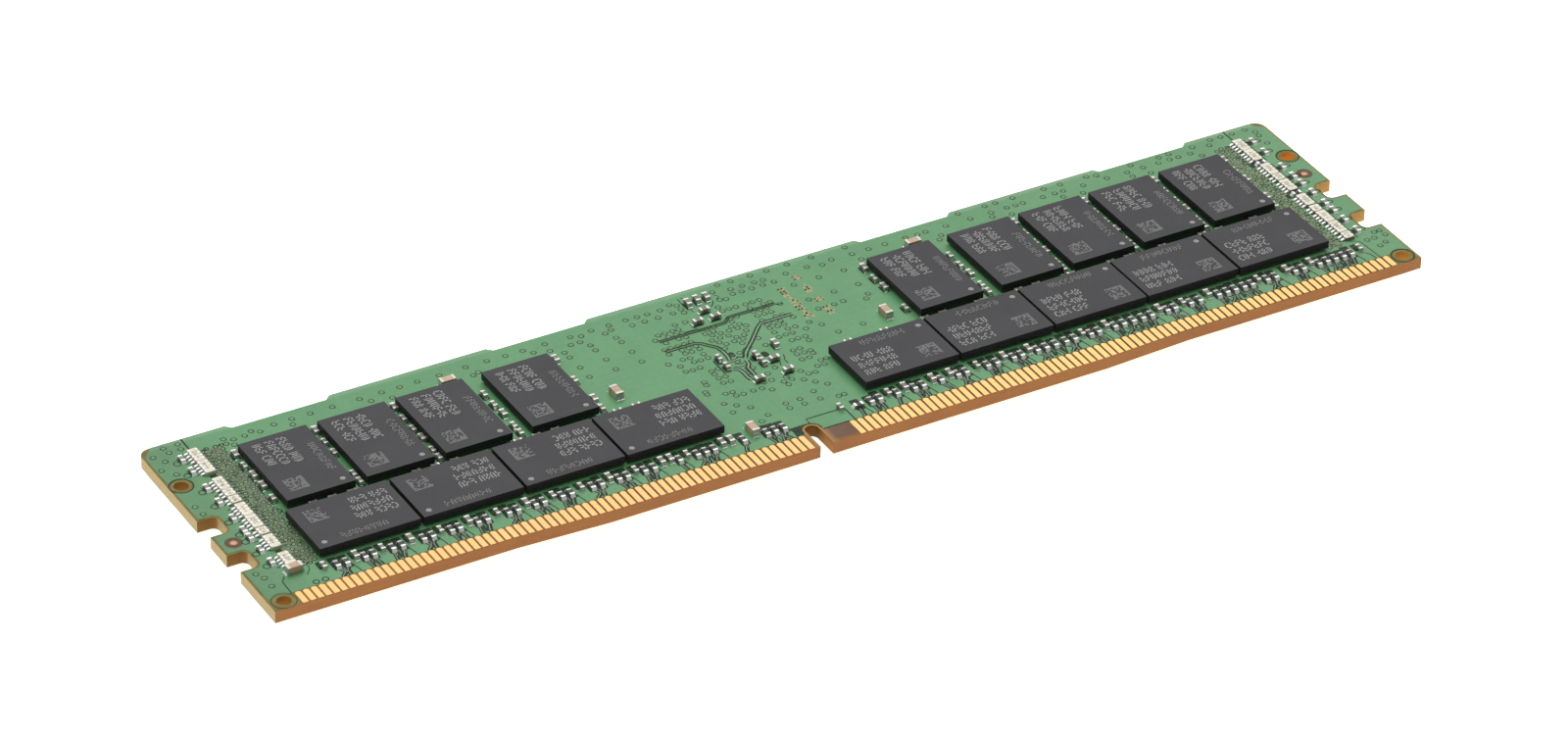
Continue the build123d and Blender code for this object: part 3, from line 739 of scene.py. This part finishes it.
def sign_row(chip, heap, u, v, pitch, height, groups):
    """Groups of abstract signs where a line of marking stands, with a gap between groups."""
    for count in groups:
        for _ in range(count):
            for left, low, width, tall in dice.choice(SIGNS):
                body = 0.76 * pitch
                chip.bar(heap, u + left * body, v + low * height, width * body, tall * height)
            u += pitch
        u += 0.55 * pitch


def turned_sign(heap, x, y, across, along, low, high):
    """One abstract sign turned a quarter, its height running along x and its width along y."""
    for left, bottom, width, tall in dice.choice(SIGNS):
        x0, y0 = x + bottom * across, y + left * along
        x1, y1 = x0 + max(tall, 0.26) * across, y0 + max(width, 0.26) * along
        heap.slab([(x0, y0), (x1, y0), (x1, y1), (x0, y1)], low, high)


def dot_block(chip, heap, u, v, size, cells):
    """A square of random dots with two solid sides."""
    step = size / cells
    for i in range(cells):
        for j in range(cells):
            if i == 0 or j == 0 or dice.random() < 0.50:
                chip.bar(heap, u + i * step, v + j * step, 0.96 * step, 0.96 * step)


def package_marks(face):
    """Greyed marking blocks on every memory package of one face."""
    front = face == "front"
    bright, dull = Heap(), Heap()
    for box in islands(f"memory_mould_{face}"):
        chip = ChipFace(box, front)
        sign_row(chip, bright, 6.22, 5.48, 0.625, 0.98, (3, 3))
        sign_row(chip, bright, 5.78, 4.14, 0.64, 0.98, (7,))
        sign_row(chip, bright, 5.58, 2.8, 0.625, 1.02, (3, 4))
        sign_row(chip, dull, 2.85, 0.66, 0.65, 0.86, (8,))
        dot_block(chip, dull, 1.22, 4.36, 2.1, 11)
    bright.piece(f"package_marks_{face}", MARK, "mould_compound")
    dull.piece(f"package_faint_marks_{face}", FAINT, "mould_compound")


def pin_marks(face):
    """The pale floor of each package's shallow corner dimple."""
    front = face == "front"
    heap = Heap()
    for box in islands(f"memory_mould_{face}"):
        chip = ChipFace(box, front)
        cx, cy = chip.plan(0.95, 0.95)
        turns = [math.tau * i / PIN_DOT_SIDES for i in range(PIN_DOT_SIDES)]
        outline = [
            (cx + PIN_DOT_RADIUS * math.cos(turn), cy + PIN_DOT_RADIUS * math.sin(turn))
            for turn in turns
        ]
        low, high = (chip.lift + level for level in PIN_DOT_LEVELS)
        heap.slab(outline, low, high, front, 0.03)
    heap.piece(f"package_corner_dots_{face}", MARK, "mould_compound")


def array_marks():
    """Two or three pale grey signs along the top of every resistor array."""
    heap = Heap()
    for b in islands("resistor_array_bodies"):
        cx, cy = middle(b)
        lift = b[5] - TOP_Z / MM
        count = 3 if b[4] - b[1] > 1.6 else 2
        for i in range(count):
            y = cy + (i - (count - 1) / 2) * 0.4 - 0.14
            turned_sign(heap, cx - 0.19, y, 0.38, 0.28, lift - 0.002, lift + MARK_LIFT)
    heap.piece("array_marks", ARRAY_MARK, "array_ceramic")


for face in ("back", "front"):
    package_marks(face)
    pin_marks(face)
array_marks()


# ---- the board's surface: vias and traces ----

BACK_BOXES = islands("memory_mould_back") + islands("resistor_array_bodies")
for kind in ("capacitor", "small_capacitor", "resistor", "large_capacitor"):
    BACK_BOXES += islands(f"{kind}_bodies_back")


def covered(x, y, boxes, margin):
    """True where one of the boxes stands over the spot or within the margin."""
    return any(b[0] - margin < x < b[3] + margin and b[1] - margin < y < b[4] + margin for b in boxes)


def clear_of(x, y, placed, gap):
    return all((x - a) ** 2 + (y - b) ** 2 > gap * gap for a, b in placed)


def free(x, y):
    """True on the open resist: off the edges, notches, holes and alignment dots."""
    if not (0.7 < x < BOARD_LENGTH - 0.7 and 4.0 < y < BOARD_HEIGHT - 0.95):
        return False
    near_end = min(x, BOARD_LENGTH - x)
    if near_end < 2.8 and (7.4 < y < 11.6 or 14.0 < y < 18.2 or 22.3 < y < 25.3):
        return False
    return all((x - a) ** 2 + (y - b) ** 2 >= 1.7 for a, b in FIDUCIALS)


# Vias on the visible face, row by row: height up the board, then places along it. Each is set
# off its row by a hair.
VIA_ROWS = (
    (30.5, (2.55, 4.15, 65.8, 67.35, 69.7, 71.65, 74.1, 77.05, 81.05, 94.9, 98.2, 99.5, 101.65)),
    (30.4, (105.5, 107.5, 110.8, 126.5, 127.8, 129.25, 130.9)),
    (30.05, (111.85, 116.2, 119.7, 121.0, 124.0)),
    (29.55, (0.95, 2.75, 4.1, 59.55, 64.65, 125.8, 131.7)),
    (29.2, (8.5, 11.6, 14.15, 16.15, 18.2, 20.65, 23.7, 26.2, 28.25, 30.25, 32.7, 35.75, 38.2)),
    (29.15, (40.3, 42.3, 44.85, 47.75, 50.2, 52.25, 54.25, 55.55, 56.75, 58.25, 60.25, 66.6)),
    (29.1, (69.4, 70.45, 73.15, 75.7, 78.7, 81.1, 83.1, 85.1, 87.6, 89.1, 90.1, 92.6, 95.6)),
    (29.12, (98.1, 100.1, 101.15, 102.1, 104.6, 106.1, 107.1, 109.6, 112.6, 115.1, 117.1)),
    (29.14, (119.1, 120.5, 121.6, 123.1, 67.95)),
    (28.7, (9.4, 10.7, 12.35, 48.85, 77.35, 131.6)),
    (28.3, (1.75, 8.45, 15.8, 24.6, 43.1, 52.1, 60.25, 66.4, 67.4, 68.65, 70.0, 71.3, 97.8)),
    (28.2, (106.5, 115.2, 124.0)),
    (28.0, (51.2, 54.4, 55.85, 57.4, 59.2, 64.65)),
    (27.8, (9.1, 26.75, 36.5, 44.75, 47.15, 48.2, 65.3, 81.5, 91.2, 99.95, 108.8, 117.35)),
    (27.55, (35.8, 60.25)),
    (27.1, (0.75, 90.6, 131.6)),
    (26.8, (45.85, 48.85, 51.85, 63.8, 72.8, 75.8, 78.8)),
    (26.0, (58.25, 59.45, 63.85, 64.65, 65.45, 66.6, 67.4, 68.2)),
    (25.8, (1.75, 45.9, 48.9, 51.9)),
    (25.15, (55.8, 56.6, 57.5, 58.2, 66.6, 68.2, 69.0)),
    (24.4, (55.1, 56.6, 57.45, 58.2, 63.85, 64.6, 66.6, 67.4, 68.15, 69.8)),
    (23.75, (46.0, 49.0, 52.0, 60.7, 61.6, 63.7, 72.8, 75.8, 78.75)),
    (23.55, (55.85, 57.4, 58.2, 66.6, 67.45, 68.2)),
    (23.1, (60.2, 61.15, 63.2, 64.2)),
    (22.5, (55.1, 55.8, 56.6, 57.4, 58.2, 60.7, 61.65, 62.65, 63.65, 64.65, 66.6, 68.2, 69.0)),
    (21.75, (46.0, 49.0, 52.0, 60.2, 61.2, 62.15, 64.25, 72.8, 74.65, 75.75, 78.7)),
    (21.6, (55.1, 56.65, 57.45, 58.2, 66.6, 67.4, 68.2, 69.75)),
    (21.1, (60.7, 62.7, 63.65, 78.1)),
    (20.9, (56.65, 57.4, 58.3, 66.6, 67.45, 68.2)),
    (20.5, (61.2, 62.15, 63.2)),
    (20.0, (54.15, 55.85, 56.65, 58.2, 66.6, 68.15, 69.0, 70.7)),
    (19.85, (0.9, 60.65, 62.7, 64.6)),
    (19.1, (55.05, 56.65, 57.45, 58.25, 66.6, 67.4, 68.2, 69.8, 71.6)),
    (18.4, (1.1, 60.65, 61.6, 64.6)),
    (17.95, (55.05, 55.8, 56.65, 67.4, 68.2, 69.0)),
    (17.1, (69.0, 60.6, 72.4, 75.4)),
    (16.85, (57.4, 58.15)),
    (16.25, (57.4, 66.6, 67.4)),
    (15.4, (55.7, 57.4, 58.2, 61.4, 66.6, 67.45, 68.2)),
    (14.85, (55.7, 60.4, 68.2)),
    (14.4, (57.4, 58.25, 63.4, 66.6, 67.45)),
    (13.8, (54.95, 62.2, 60.35)),
    (13.4, (54.9, 68.2, 68.85)),
    (12.6, (56.6, 57.4, 61.0, 61.95, 65.4, 67.35, 68.15)),
    (12.35, (63.5,)),
    (11.8, (57.4, 58.25, 59.4, 60.35, 62.95, 63.85, 65.85, 66.6)),
    (11.1, (55.6, 61.15, 63.1, 64.9)),
    (10.3, (56.55, 65.7)),
    (9.35, (55.6, 57.65, 66.6)),
    (8.8, (64.65,)),
    (8.3, (61.1, 62.75)),
    (7.35, (58.5, 61.05, 62.75, 64.6)),
    (6.9, (1.1, 66.5, 67.15, 131.7, 132.4)),
    (6.6, (57.4,)),
    (5.95, (1.55, 130.2, 131.1, 132.45)),
    (4.8, (131.7,)),
    (4.4, (1.6, 130.8)),
)


VIA_RADIUS = 0.34
CROWD_VIA_RADIUS = 0.29
RIM_HEIGHT = 0.012
HEART_HEIGHT = 0.009


def crowded_vias():
    """The close fields beside the two array columns."""
    placed = []
    for low, high in ((5.75, 8.0), (125.75, 127.35)):
        for _ in range(2600):
            x, y = dice.uniform(low, high), dice.uniform(6.2, 28.6)
            if not covered(x, y, BACK_BOXES, 0.12) and clear_of(x, y, placed, 0.56):
                placed.append((x, y))
    return placed


def via(rims, hearts, x, y, radius, front=False):
    """One via under the resist: a dark sunken rim round a slightly raised centre."""
    rims.ring(x, y, 0.77 * radius, radius, RIM_HEIGHT, front)
    hearts.ring(x, y, 0.05 * radius, 0.73 * radius, HEART_HEIGHT, front, 12)


def strips(heap, low, high, bottom=6.3, top=28.2, step=0.55):
    """A field of close wiring laid as short plates, its right side wandering a little."""
    count = round((top - bottom) / step)
    heights = [bottom + (top - bottom) * i / count for i in range(count + 1)]
    edge = [(high + dice.uniform(-0.35, 0.25), y) for y in heights]
    for a, b in zip(edge, edge[1:]):
        heap.slab([(low, a[1]), a, b, (low, b[1])], 0.0, 0.006)


crowd = Heap()
strips(crowd, 5.35, 7.75)
strips(crowd, 125.75, 127.65)
crowd.piece("crowded_fields_back", CROWD, "solder_resist")

rims, hearts, crowd_rims = Heap(), Heap(), Heap()
for y, xs in VIA_ROWS:
    for x in xs:
        via(rims, hearts, x + dice.uniform(-0.03, 0.03), y + dice.uniform(-0.05, 0.05), VIA_RADIUS)
crowd_spots = crowded_vias()
for x, y in crowd_spots:
    via(crowd_rims, hearts, x, y, CROWD_VIA_RADIUS)
    crowd_rims.ring(x, y, 0.17, 0.27, 0.013)
    if dice.random() < 0.6:
        ax, ay = nearest((x, y), [spot for spot in crowd_spots if spot != (x, y)])
        halfway = ((x + ax) / 2 + 0.15, (y + ay) / 2)
        crowd_rims.ribbon([(x + 0.2, y), halfway, (ax, ay + 0.2)], 0.09, 0.01)
crowd_rims.piece("via_rims_crowded", WIRING_AND_SHADE, "solder_resist", smooth=True)
for b in islands("resistor_bodies_back"):
    x, y = middle(b)
    if x < 4.0:
        rims.ring(x - 0.62, y - 0.35, 0.31, 0.43, RIM_HEIGHT, sides=22)
    elif x > 129.5:
        rims.ring(x + 0.75, y + 0.1, 0.22, 0.34, RIM_HEIGHT, sides=22)
for (x, y), _ in TOOL_HOLES:
    inner = 1.23 if x < 10 and y < 10 else 1.15
    rims.ring(x, y, inner, 1.3, 0.008, sides=40)
rims.piece("via_rims_back", RIM, "solder_resist", smooth=True)
hearts.piece("via_hearts_back", HEART, "solder_resist", smooth=True)


def front_vias():
    """A lighter scatter of vias on the face under the module."""
    rims, hearts = Heap(), Heap()
    placed = []
    boxes = islands("memory_mould_front") + islands("register_mould") + islands("presence_detect_body")
    for _ in range(2600):
        x, y = dice.uniform(1.0, BOARD_LENGTH - 1.0), dice.uniform(5.8, 30.5)
        if free(x, y) and not covered(x, y, boxes, 0.3) and clear_of(x, y, placed, 1.1):
            placed.append((x, y))
            via(rims, hearts, x, y, VIA_RADIUS, True)
    rims.piece("via_rims_front", RIM, "solder_resist", smooth=True)
    hearts.piece("via_hearts_front", HEART, "solder_resist", smooth=True)


front_vias()


def swing(start, end, steps=7):
    """A plan path that leaves start and reaches end upright, easing sideways between."""
    path = []
    for i in range(steps + 1):
        t = i / steps
        ease = t * t * (3 - 2 * t)
        path.append((start[0] + (end[0] - start[0]) * ease, start[1] + (end[1] - start[1]) * t))
    return path


dark, light = Heap(), Heap()


def patch(x0, y0, x1, y1, cut=0.12):
    """An oblong of dark resist with its corners cut, laid as close wiring round a part and as painted
    shade and shadow beside parts.
    """
    outline = [
        (x0 + cut, y0), (x1 - cut, y0), (x1, y0 + cut), (x1, y1 - cut),
        (x1 - cut, y1), (x0 + cut, y1), (x0, y1 - cut), (x0, y0 + cut),
    ]
    dark.slab(outline, 0.0, 0.008, inset=0.02)


def pair(path, gap, width, ridge):
    """Two dark lines along a plan path, wiring widened by painted shade, and a pale raised one between
    them, painted as a highlight, if ridge isn't zero.
    """
    for shift in (-gap / 2, gap / 2):
        shifted = [(x + nx * shift, y + ny * shift) for (x, y), (nx, ny) in zip(path, sideways(path))]
        dark.ribbon(shifted, width, 0.011)
    if ridge:
        light.ribbon(path, ridge, 0.018)


# The row above the contacts: dark round every part, close wiring together with painted shade from the
# parts and from the packages just above, then legs down to the contacts, with pale ridges painted on as
# highlights.
CONTACTS = [middle(b)[0] for b in islands("edge_contacts_back")]
# The dark patches reach this high, into the painted shadow under the packages' lower edge.
ROW_TOP = 6.12
row_resistors = sorted(middle(b)[0] for b in islands("resistor_bodies_back") if middle(b)[1] < 5)
neighbours = [(a, b) for a, b in zip(row_resistors, row_resistors[1:]) if b - a < 1.3]
meeting = {x: (a + b) / 2 for a, b in neighbours[::3] for x in (a, b)}
taken = set()
for b in islands("resistor_bodies_back"):
    x, y = middle(b)
    if y > 5 or not 8 < x < 130:
        continue
    top = 5.65 if 66.5 < x < 69 else ROW_TOP - dice.uniform(0, 0.3)
    patch(x - 0.5, y - 0.7 - dice.uniform(0, 0.2), x + 0.5, top)
    open_contacts = [c for c in CONTACTS if c not in taken]
    target = min(open_contacts, key=lambda c: abs(c - x + 0.08))
    taken.add(target)
    leg = swing((target, BARE_LINE), (x - 0.04, y - 0.45))
    if x in meeting:
        centre = meeting[x] + math.copysign(0.16, x - meeting[x])
        knee = (centre, 3.25)
        leg = swing((target, BARE_LINE), knee, steps=4) + swing(knee, (x, y - 0.45), steps=4)[1:]
    dark.ribbon(leg, 0.5, 0.01)
    partner = [a for a in row_resistors if 0.2 < a - x < 1.3]
    if partner:
        gap = (x + partner[0]) / 2
        wedge = [(gap - 0.34, 4.25), (gap - 0.46, 2.75), (gap - 0.06, 2.75), (gap + 0.36, 4.25)]
        dark.slab(wedge, 0.0, 0.007)
        light.ribbon([(gap - 0.12, 4.1), (gap - 0.02, 3.7), (gap - 0.1, 3.35)], 0.06, 0.015)
    if dice.random() < 0.85:
        loop = swing((x + 0.55, BARE_LINE + 0.1), (x + 0.3, 4.1), steps=4)
        dark.ribbon([(px + 0.22, py) for px, py in loop], 0.14, 0.011)
    light.ribbon([(px - 0.06, py) for px, py in leg], 0.09, 0.018)
    if dice.random() < 0.6:
        light.ribbon([(px + 0.13, py) for px, py in leg[3:]], 0.06, 0.016)
# Dark patches round the capacitors: close wiring and painted shade; in the row they reach into the
# packages' shadow, elsewhere further to the lower left, where the parts' shadows fall. The pale fans are
# painted highlights.
for kind in ("capacitor", "small_capacitor"):
    for b in islands(f"{kind}_bodies_back"):
        x, y = middle(b)
        if y < 6.0 and not 60 < x < 66.5:
            foot = y - 0.1 - dice.uniform(0, 0.2)
            patch(x - 0.5, foot, x + 0.5, ROW_TOP - dice.uniform(0, 0.3))
            fan = dice.uniform(0.35, 0.75)
            for k in (-0.18, 0.0, 0.18):
                light.ribbon([(x + k, y - 0.6), (x + 1.6 * k, y - 0.6 - fan)], 0.05, 0.012)
        elif y > 6.5 and not 56 < x < 68:
            along_x = b[3] - b[0] > b[4] - b[1]
            wide, tall = (0.72, 0.42) if along_x else (0.42, 0.72)
            patch(x - wide, y - tall, x + wide * 0.9, y + tall * 0.9)

# The open middle of the board, between the two banks of packages. Line pairs: the gap between
# two dark lines, their width, the width of the pale ridge between them, and the path. The dark lines are
# wiring widened by painted shade; the pale ridge is a painted highlight.
LINE_PAIRS = (
    (0.3, 0.24, 0,
     ((55.3, 24.02), (59.3, 24.02), (60.2, 23.95), (63.0, 23.98), (63.8, 24.7), (69.1, 24.7))),
    (0.36, 0.23, 0, ((54.95, 22.12), (58.3, 22.12), (58.95, 21.75), (60.05, 20.35), (60.2, 19.6))),
    (0.36, 0.19, 0.09, ((69.9, 22.2), (66.2, 22.2), (65.5, 21.6), (63.7, 19.7), (62.9, 18.95))),
    (0.38, 0.18, 0.11, ((60.2, 19.6), (60.2, 18.6), (60.05, 17.8))),
    (0.42, 0.2, 0.11, ((62.9, 18.95), (62.2, 18.25), (61.6, 17.35))),
    (0.38, 0.19, 0.11, ((61.5, 16.95), (61.42, 16.3), (61.0, 15.75), (60.95, 14.2))),
    (0.4, 0.18, 0.1, ((59.5, 16.15), (60.0, 15.85), (60.15, 15.2), (60.1, 14.3), (60.2, 13.6))),
    (0.4, 0.13, 0.12, ((60.0, 16.75), (60.5, 16.35), (61.1, 16.45))),
    (0.34, 0.13, 0.12, ((59.6, 17.55), (60.4, 17.45), (61.0, 17.55))),
)
for gap, width, ridge, path in LINE_PAIRS:
    pair(path, gap, width, ridge)

# Single dark lines there, by the key slot and at both ends: width, height and path.
LINES = (
    (0.2, 0.012, ((58.4, 24.28), (59.5, 24.3), (60.1, 24.0))),
    (0.22, 0.012, ((69.1, 24.85), (69.5, 24.4), (70.1, 24.4))),
    (0.1, 0.012, ((59.7, 25.4), (59.75, 24.6), (60.0, 24.2))),
    (0.2, 0.011, ((58.45, 18.4), (58.4, 15.8))),
    (0.22, 0.011, ((60.9, 17.95), (61.5, 17.6), (62.1, 17.9))),
    (0.14, 0.011, ((62.0, 18.6), (62.3, 18.9), (63.3, 18.75))),
    (0.12, 0.011, ((65.35, 16.1), (65.22, 15.65), (65.0, 15.3), (65.0, 14.55))),
    (0.12, 0.011, ((64.3, 15.0), (64.15, 14.5))),
    (0.12, 0.011, ((63.9, 28.2), (63.75, 27.7), (63.2, 27.25))),
    (0.13, 0.011, ((60.85, 30.1), (60.8, 28.9), (60.85, 27.8))),
    (0.13, 0.011, ((61.2, 30.2), (61.45, 29.9))),
    (0.12, 0.011, ((61.1, 27.7), (61.15, 27.2))),
    (0.1, 0.011, ((64.5, 29.1), (64.9, 28.6), (64.4, 28.2))),
    (0.17, 0.011, ((61.42, 4.05), (61.45, 4.84), (65.2, 4.84))),
    (0.18, 0.011, ((65.86, 4.7), (65.86, BARE_LINE))),
    (0.12, 0.01, ((62.2, 2.62), (65.15, 2.62))),
    (0.19, 0.011, ((4.78, 28.7), (4.8, 31.15))),
    (0.19, 0.011, ((128.6, 28.7), (128.6, 31.15))),
    (0.13, 0.011, ((3.35, 5.25), (2.82, 4.6), (2.76, BARE_LINE))),
    (0.1, 0.011, ((6.25, 5.9), (6.05, 5.2), (5.45, 4.5))),
    (0.12, 0.011, ((128.35, 6.7), (129.35, 6.1), (129.45, 4.4), (129.55, BARE_LINE))),
    (0.14, 0.011, ((128.3, 4.3), (128.9, 3.6), (129.1, BARE_LINE))),
)
for width, height, path in LINES:
    dark.ribbon(path, width, height)
patch(60.42, 18.05, 61.0, 19.0, 0.2)
patch(63.35, 16.5, 64.1, 17.5, 0.2)
patch(61.9, 16.3, 62.6, 17.2, 0.2)
patch(60.6, 14.1, 60.85, 15.9, 0.08)
# Dark halos round the capacitors in the middle, set well towards the lower left: close wiring and painted
# shadow.
for b in islands("capacitor_bodies_back") + islands("small_capacitor_bodies_back"):
    x, y = middle(b)
    if 56 < x < 66.5 and y > 6.5:
        along_x = b[3] - b[0] > b[4] - b[1]
        wide, tall = (0.62, 0.34) if along_x else (0.34, 0.62)
        patch(x - wide - 0.12, y - tall - 0.22, x + wide * 0.7, y + tall * 0.6)

# The key slot: a wedge to its left and a line that follows its round head.
KEY_HEAD = (KEY_SLOT, 3.0)
KEY_LINE_RADIUS = 1.07
key_wedge = [(59.1, 2.6), (60.02, 2.6), (60.02, 3.3), (60.4, 3.95), (61.2, 4.14), (59.25, 4.14)]
dark.slab(key_wedge, 0.0, 0.008)
key_arc = []
for degrees in range(190, -11, -20):
    turn = math.radians(degrees)
    x = KEY_HEAD[0] + KEY_LINE_RADIUS * math.cos(turn)
    key_arc.append((x, KEY_HEAD[1] + KEY_LINE_RADIUS * math.sin(turn)))
dark.ribbon(key_arc, 0.13, 0.01)

# Faint orange signs on the bare middle, under the resist.
sign_heap = Heap()
for column, low, high in ((71.25, 20.6, 27.6), (73.75, 20.2, 28.4)):
    y = low
    while y < high:
        if dice.random() < 0.72:
            turned_sign(sign_heap, column - 0.45, y, 0.9, 0.74, 0.0, 0.004)
        y += 0.92
sign_heap.piece("board_signs_back", COPPER_SIGN, "solder_resist")

# Both ends: dark patches in the gaps between arrays, close wiring and painted shade beside the parts, and
# a stub at every array terminal.
patch(4.45, 23.45, 5.25, 24.08)
patch(4.42, 9.05, 5.2, 9.55)
patch(127.3, 23.5, 128.05, 24.3)
patch(127.35, 16.5, 128.05, 17.4)
# Painted shadow to the left of each end resistor, narrower at the left end.
for b in islands("resistor_bodies_back"):
    x, y = middle(b)
    if x > 129.5:
        patch(x - 0.62, y - 0.4, x - 0.24, y + 0.42)
    elif x < 4.0:
        patch(x - 0.42, y - 0.35, x - 0.24, y + 0.3, 0.05)
# Dark resist under each array's left joints, close wiring and painted shade between the terminals; along
# each right-hand array, a painted shadow line.
for b in islands("resistor_array_bodies"):
    patch(b[0] - 0.4, b[1] + 0.02, b[0] + 0.1, b[4] - 0.02)
    if b[0] > BOARD_LENGTH / 2:
        low_end, waist, high_end = (b[3] + 0.5, b[1]), (b[3] + 0.46, middle(b)[1]), (b[3] + 0.52, b[4])
        dark.ribbon([low_end, waist, high_end], 0.13, 0.009)
for end in ARRAY_ENDS:
    cx, cy = middle(end)
    bx = nearest((cx, cy), ARRAY_BARS)[0]
    side = math.copysign(1, cx - bx)
    if (cx < BOARD_LENGTH / 2) == (side > 0):
        reach = dice.uniform(0.75, 1.15)
        stub = [(cx + side * 0.14, cy), (cx + side * 0.35, cy), (cx + side * reach, cy - 0.16)]
        dark.ribbon(stub, 0.22, 0.01)
    elif side < 0:
        reach = dice.uniform(0.75, 1.1)
        stub = [(cx - 0.1, cy + 0.26), (cx - 0.45, cy + 0.24), (cx - reach, cy + 0.12)]
        dark.ribbon(stub, 0.16, 0.01)
for x in (5.7, 6.7):
    dark.ring(x, 3.05, 0.24, 0.38, 0.011)

# Dark resist for close wiring and painted shade; pale ridges painted as highlights.
dark.piece("wiring_and_shade_back", WIRING_AND_SHADE, "solder_resist")
light.piece("wiring_ridge_highlights_back", RIDGE_HIGHLIGHT, "solder_resist")


# ---- studio ----

CENTRE = Vector(((LOW.x + HIGH.x) / 2, (LOW.y + HIGH.y) / 2, TOP_Z))


def floor():
    """A wide pale sheet under the module, faintly mottled."""
    pale, paler = (0.9, 0.9, 0.9), (0.93, 0.93, 0.93)
    material = grained("studio_floor_white", pale, paler, (9.0, 2.0), (0.85, 0.85), 0.1)
    shader = material.node_tree.nodes["Principled BSDF"]
    shader.inputs["Emission Color"].default_value = (1.0, 0.99, 0.97, 1.0)
    shader.inputs["Emission Strength"].default_value = 0.85
    mesh = bpy.data.meshes.new("studio_floor")
    half, under = 3.0, LOW.z - 0.02 * MM
    corners = [(-half, -half, under), (half, -half, under), (half, half, under), (-half, half, under)]
    mesh.from_pydata(corners, [], [(0, 1, 2, 3)])
    mesh.materials.append(material)
    show("studio_floor", mesh)


def softbox(name, azimuth, elevation, distance, size, power):
    """An area light aimed at the module; azimuth 0 is on the camera's -Y side."""
    az, el = math.radians(azimuth), math.radians(elevation)
    back = Vector((math.sin(az) * math.cos(el), -math.cos(az) * math.cos(el), math.sin(el)))
    light = bpy.data.lights.new(name, "AREA")
    light.shape = "RECTANGLE"
    light.size = size[0]
    light.size_y = size[1]
    light.energy = power
    lamp = show(name, light)
    lamp.location = CENTRE + back * distance
    lamp.rotation_euler = back.to_track_quat("Z", "Y").to_euler()


def world():
    """Even white surroundings."""
    scene = bpy.context.scene
    scene.world = bpy.data.worlds.new("studio_air")
    scene.world.use_nodes = True
    back = scene.world.node_tree.nodes["Background"]
    back.inputs["Color"].default_value = (1.0, 1.0, 1.0, 1.0)
    back.inputs["Strength"].default_value = 0.16
    scene.view_settings.view_transform = "Standard"
    scene.view_settings.look = "None"


def camera():
    """The photograph's view, from the left front and above, through a long lens."""
    azimuth, elevation, roll = (math.radians(angle) for angle in (-30.941, 33.724, 1.551))
    distance = 0.6777
    turn = (
        Matrix.Rotation(azimuth, 4, "Z")
        @ Matrix.Rotation(math.pi / 2 - elevation, 4, "X")
        @ Matrix.Rotation(roll, 4, "Z")
    )
    lens = bpy.data.cameras.new("camera")
    lens.sensor_width = 36.0
    lens.lens = 153.53
    lens.clip_start = 0.01
    lens.clip_end = 20.0
    seat = show("camera", lens)
    aim = Matrix.Translation(point(63.93, 13.51))
    seat.matrix_world = aim @ turn @ Matrix.Translation((0, 0, distance))
    bpy.context.scene.camera = seat


floor()
softbox("softbox_top", 175, 68, 0.9, (1.3, 0.9), 8.9)
softbox("softbox_behind", 150, 36, 1.1, (1.6, 0.6), 2.4)
softbox("softbox_left", -80, 30, 1.0, (0.5, 0.5), 0.8)
softbox("softbox_front", -15, 52, 1.0, (0.9, 0.5), 0.8)
world()
camera()
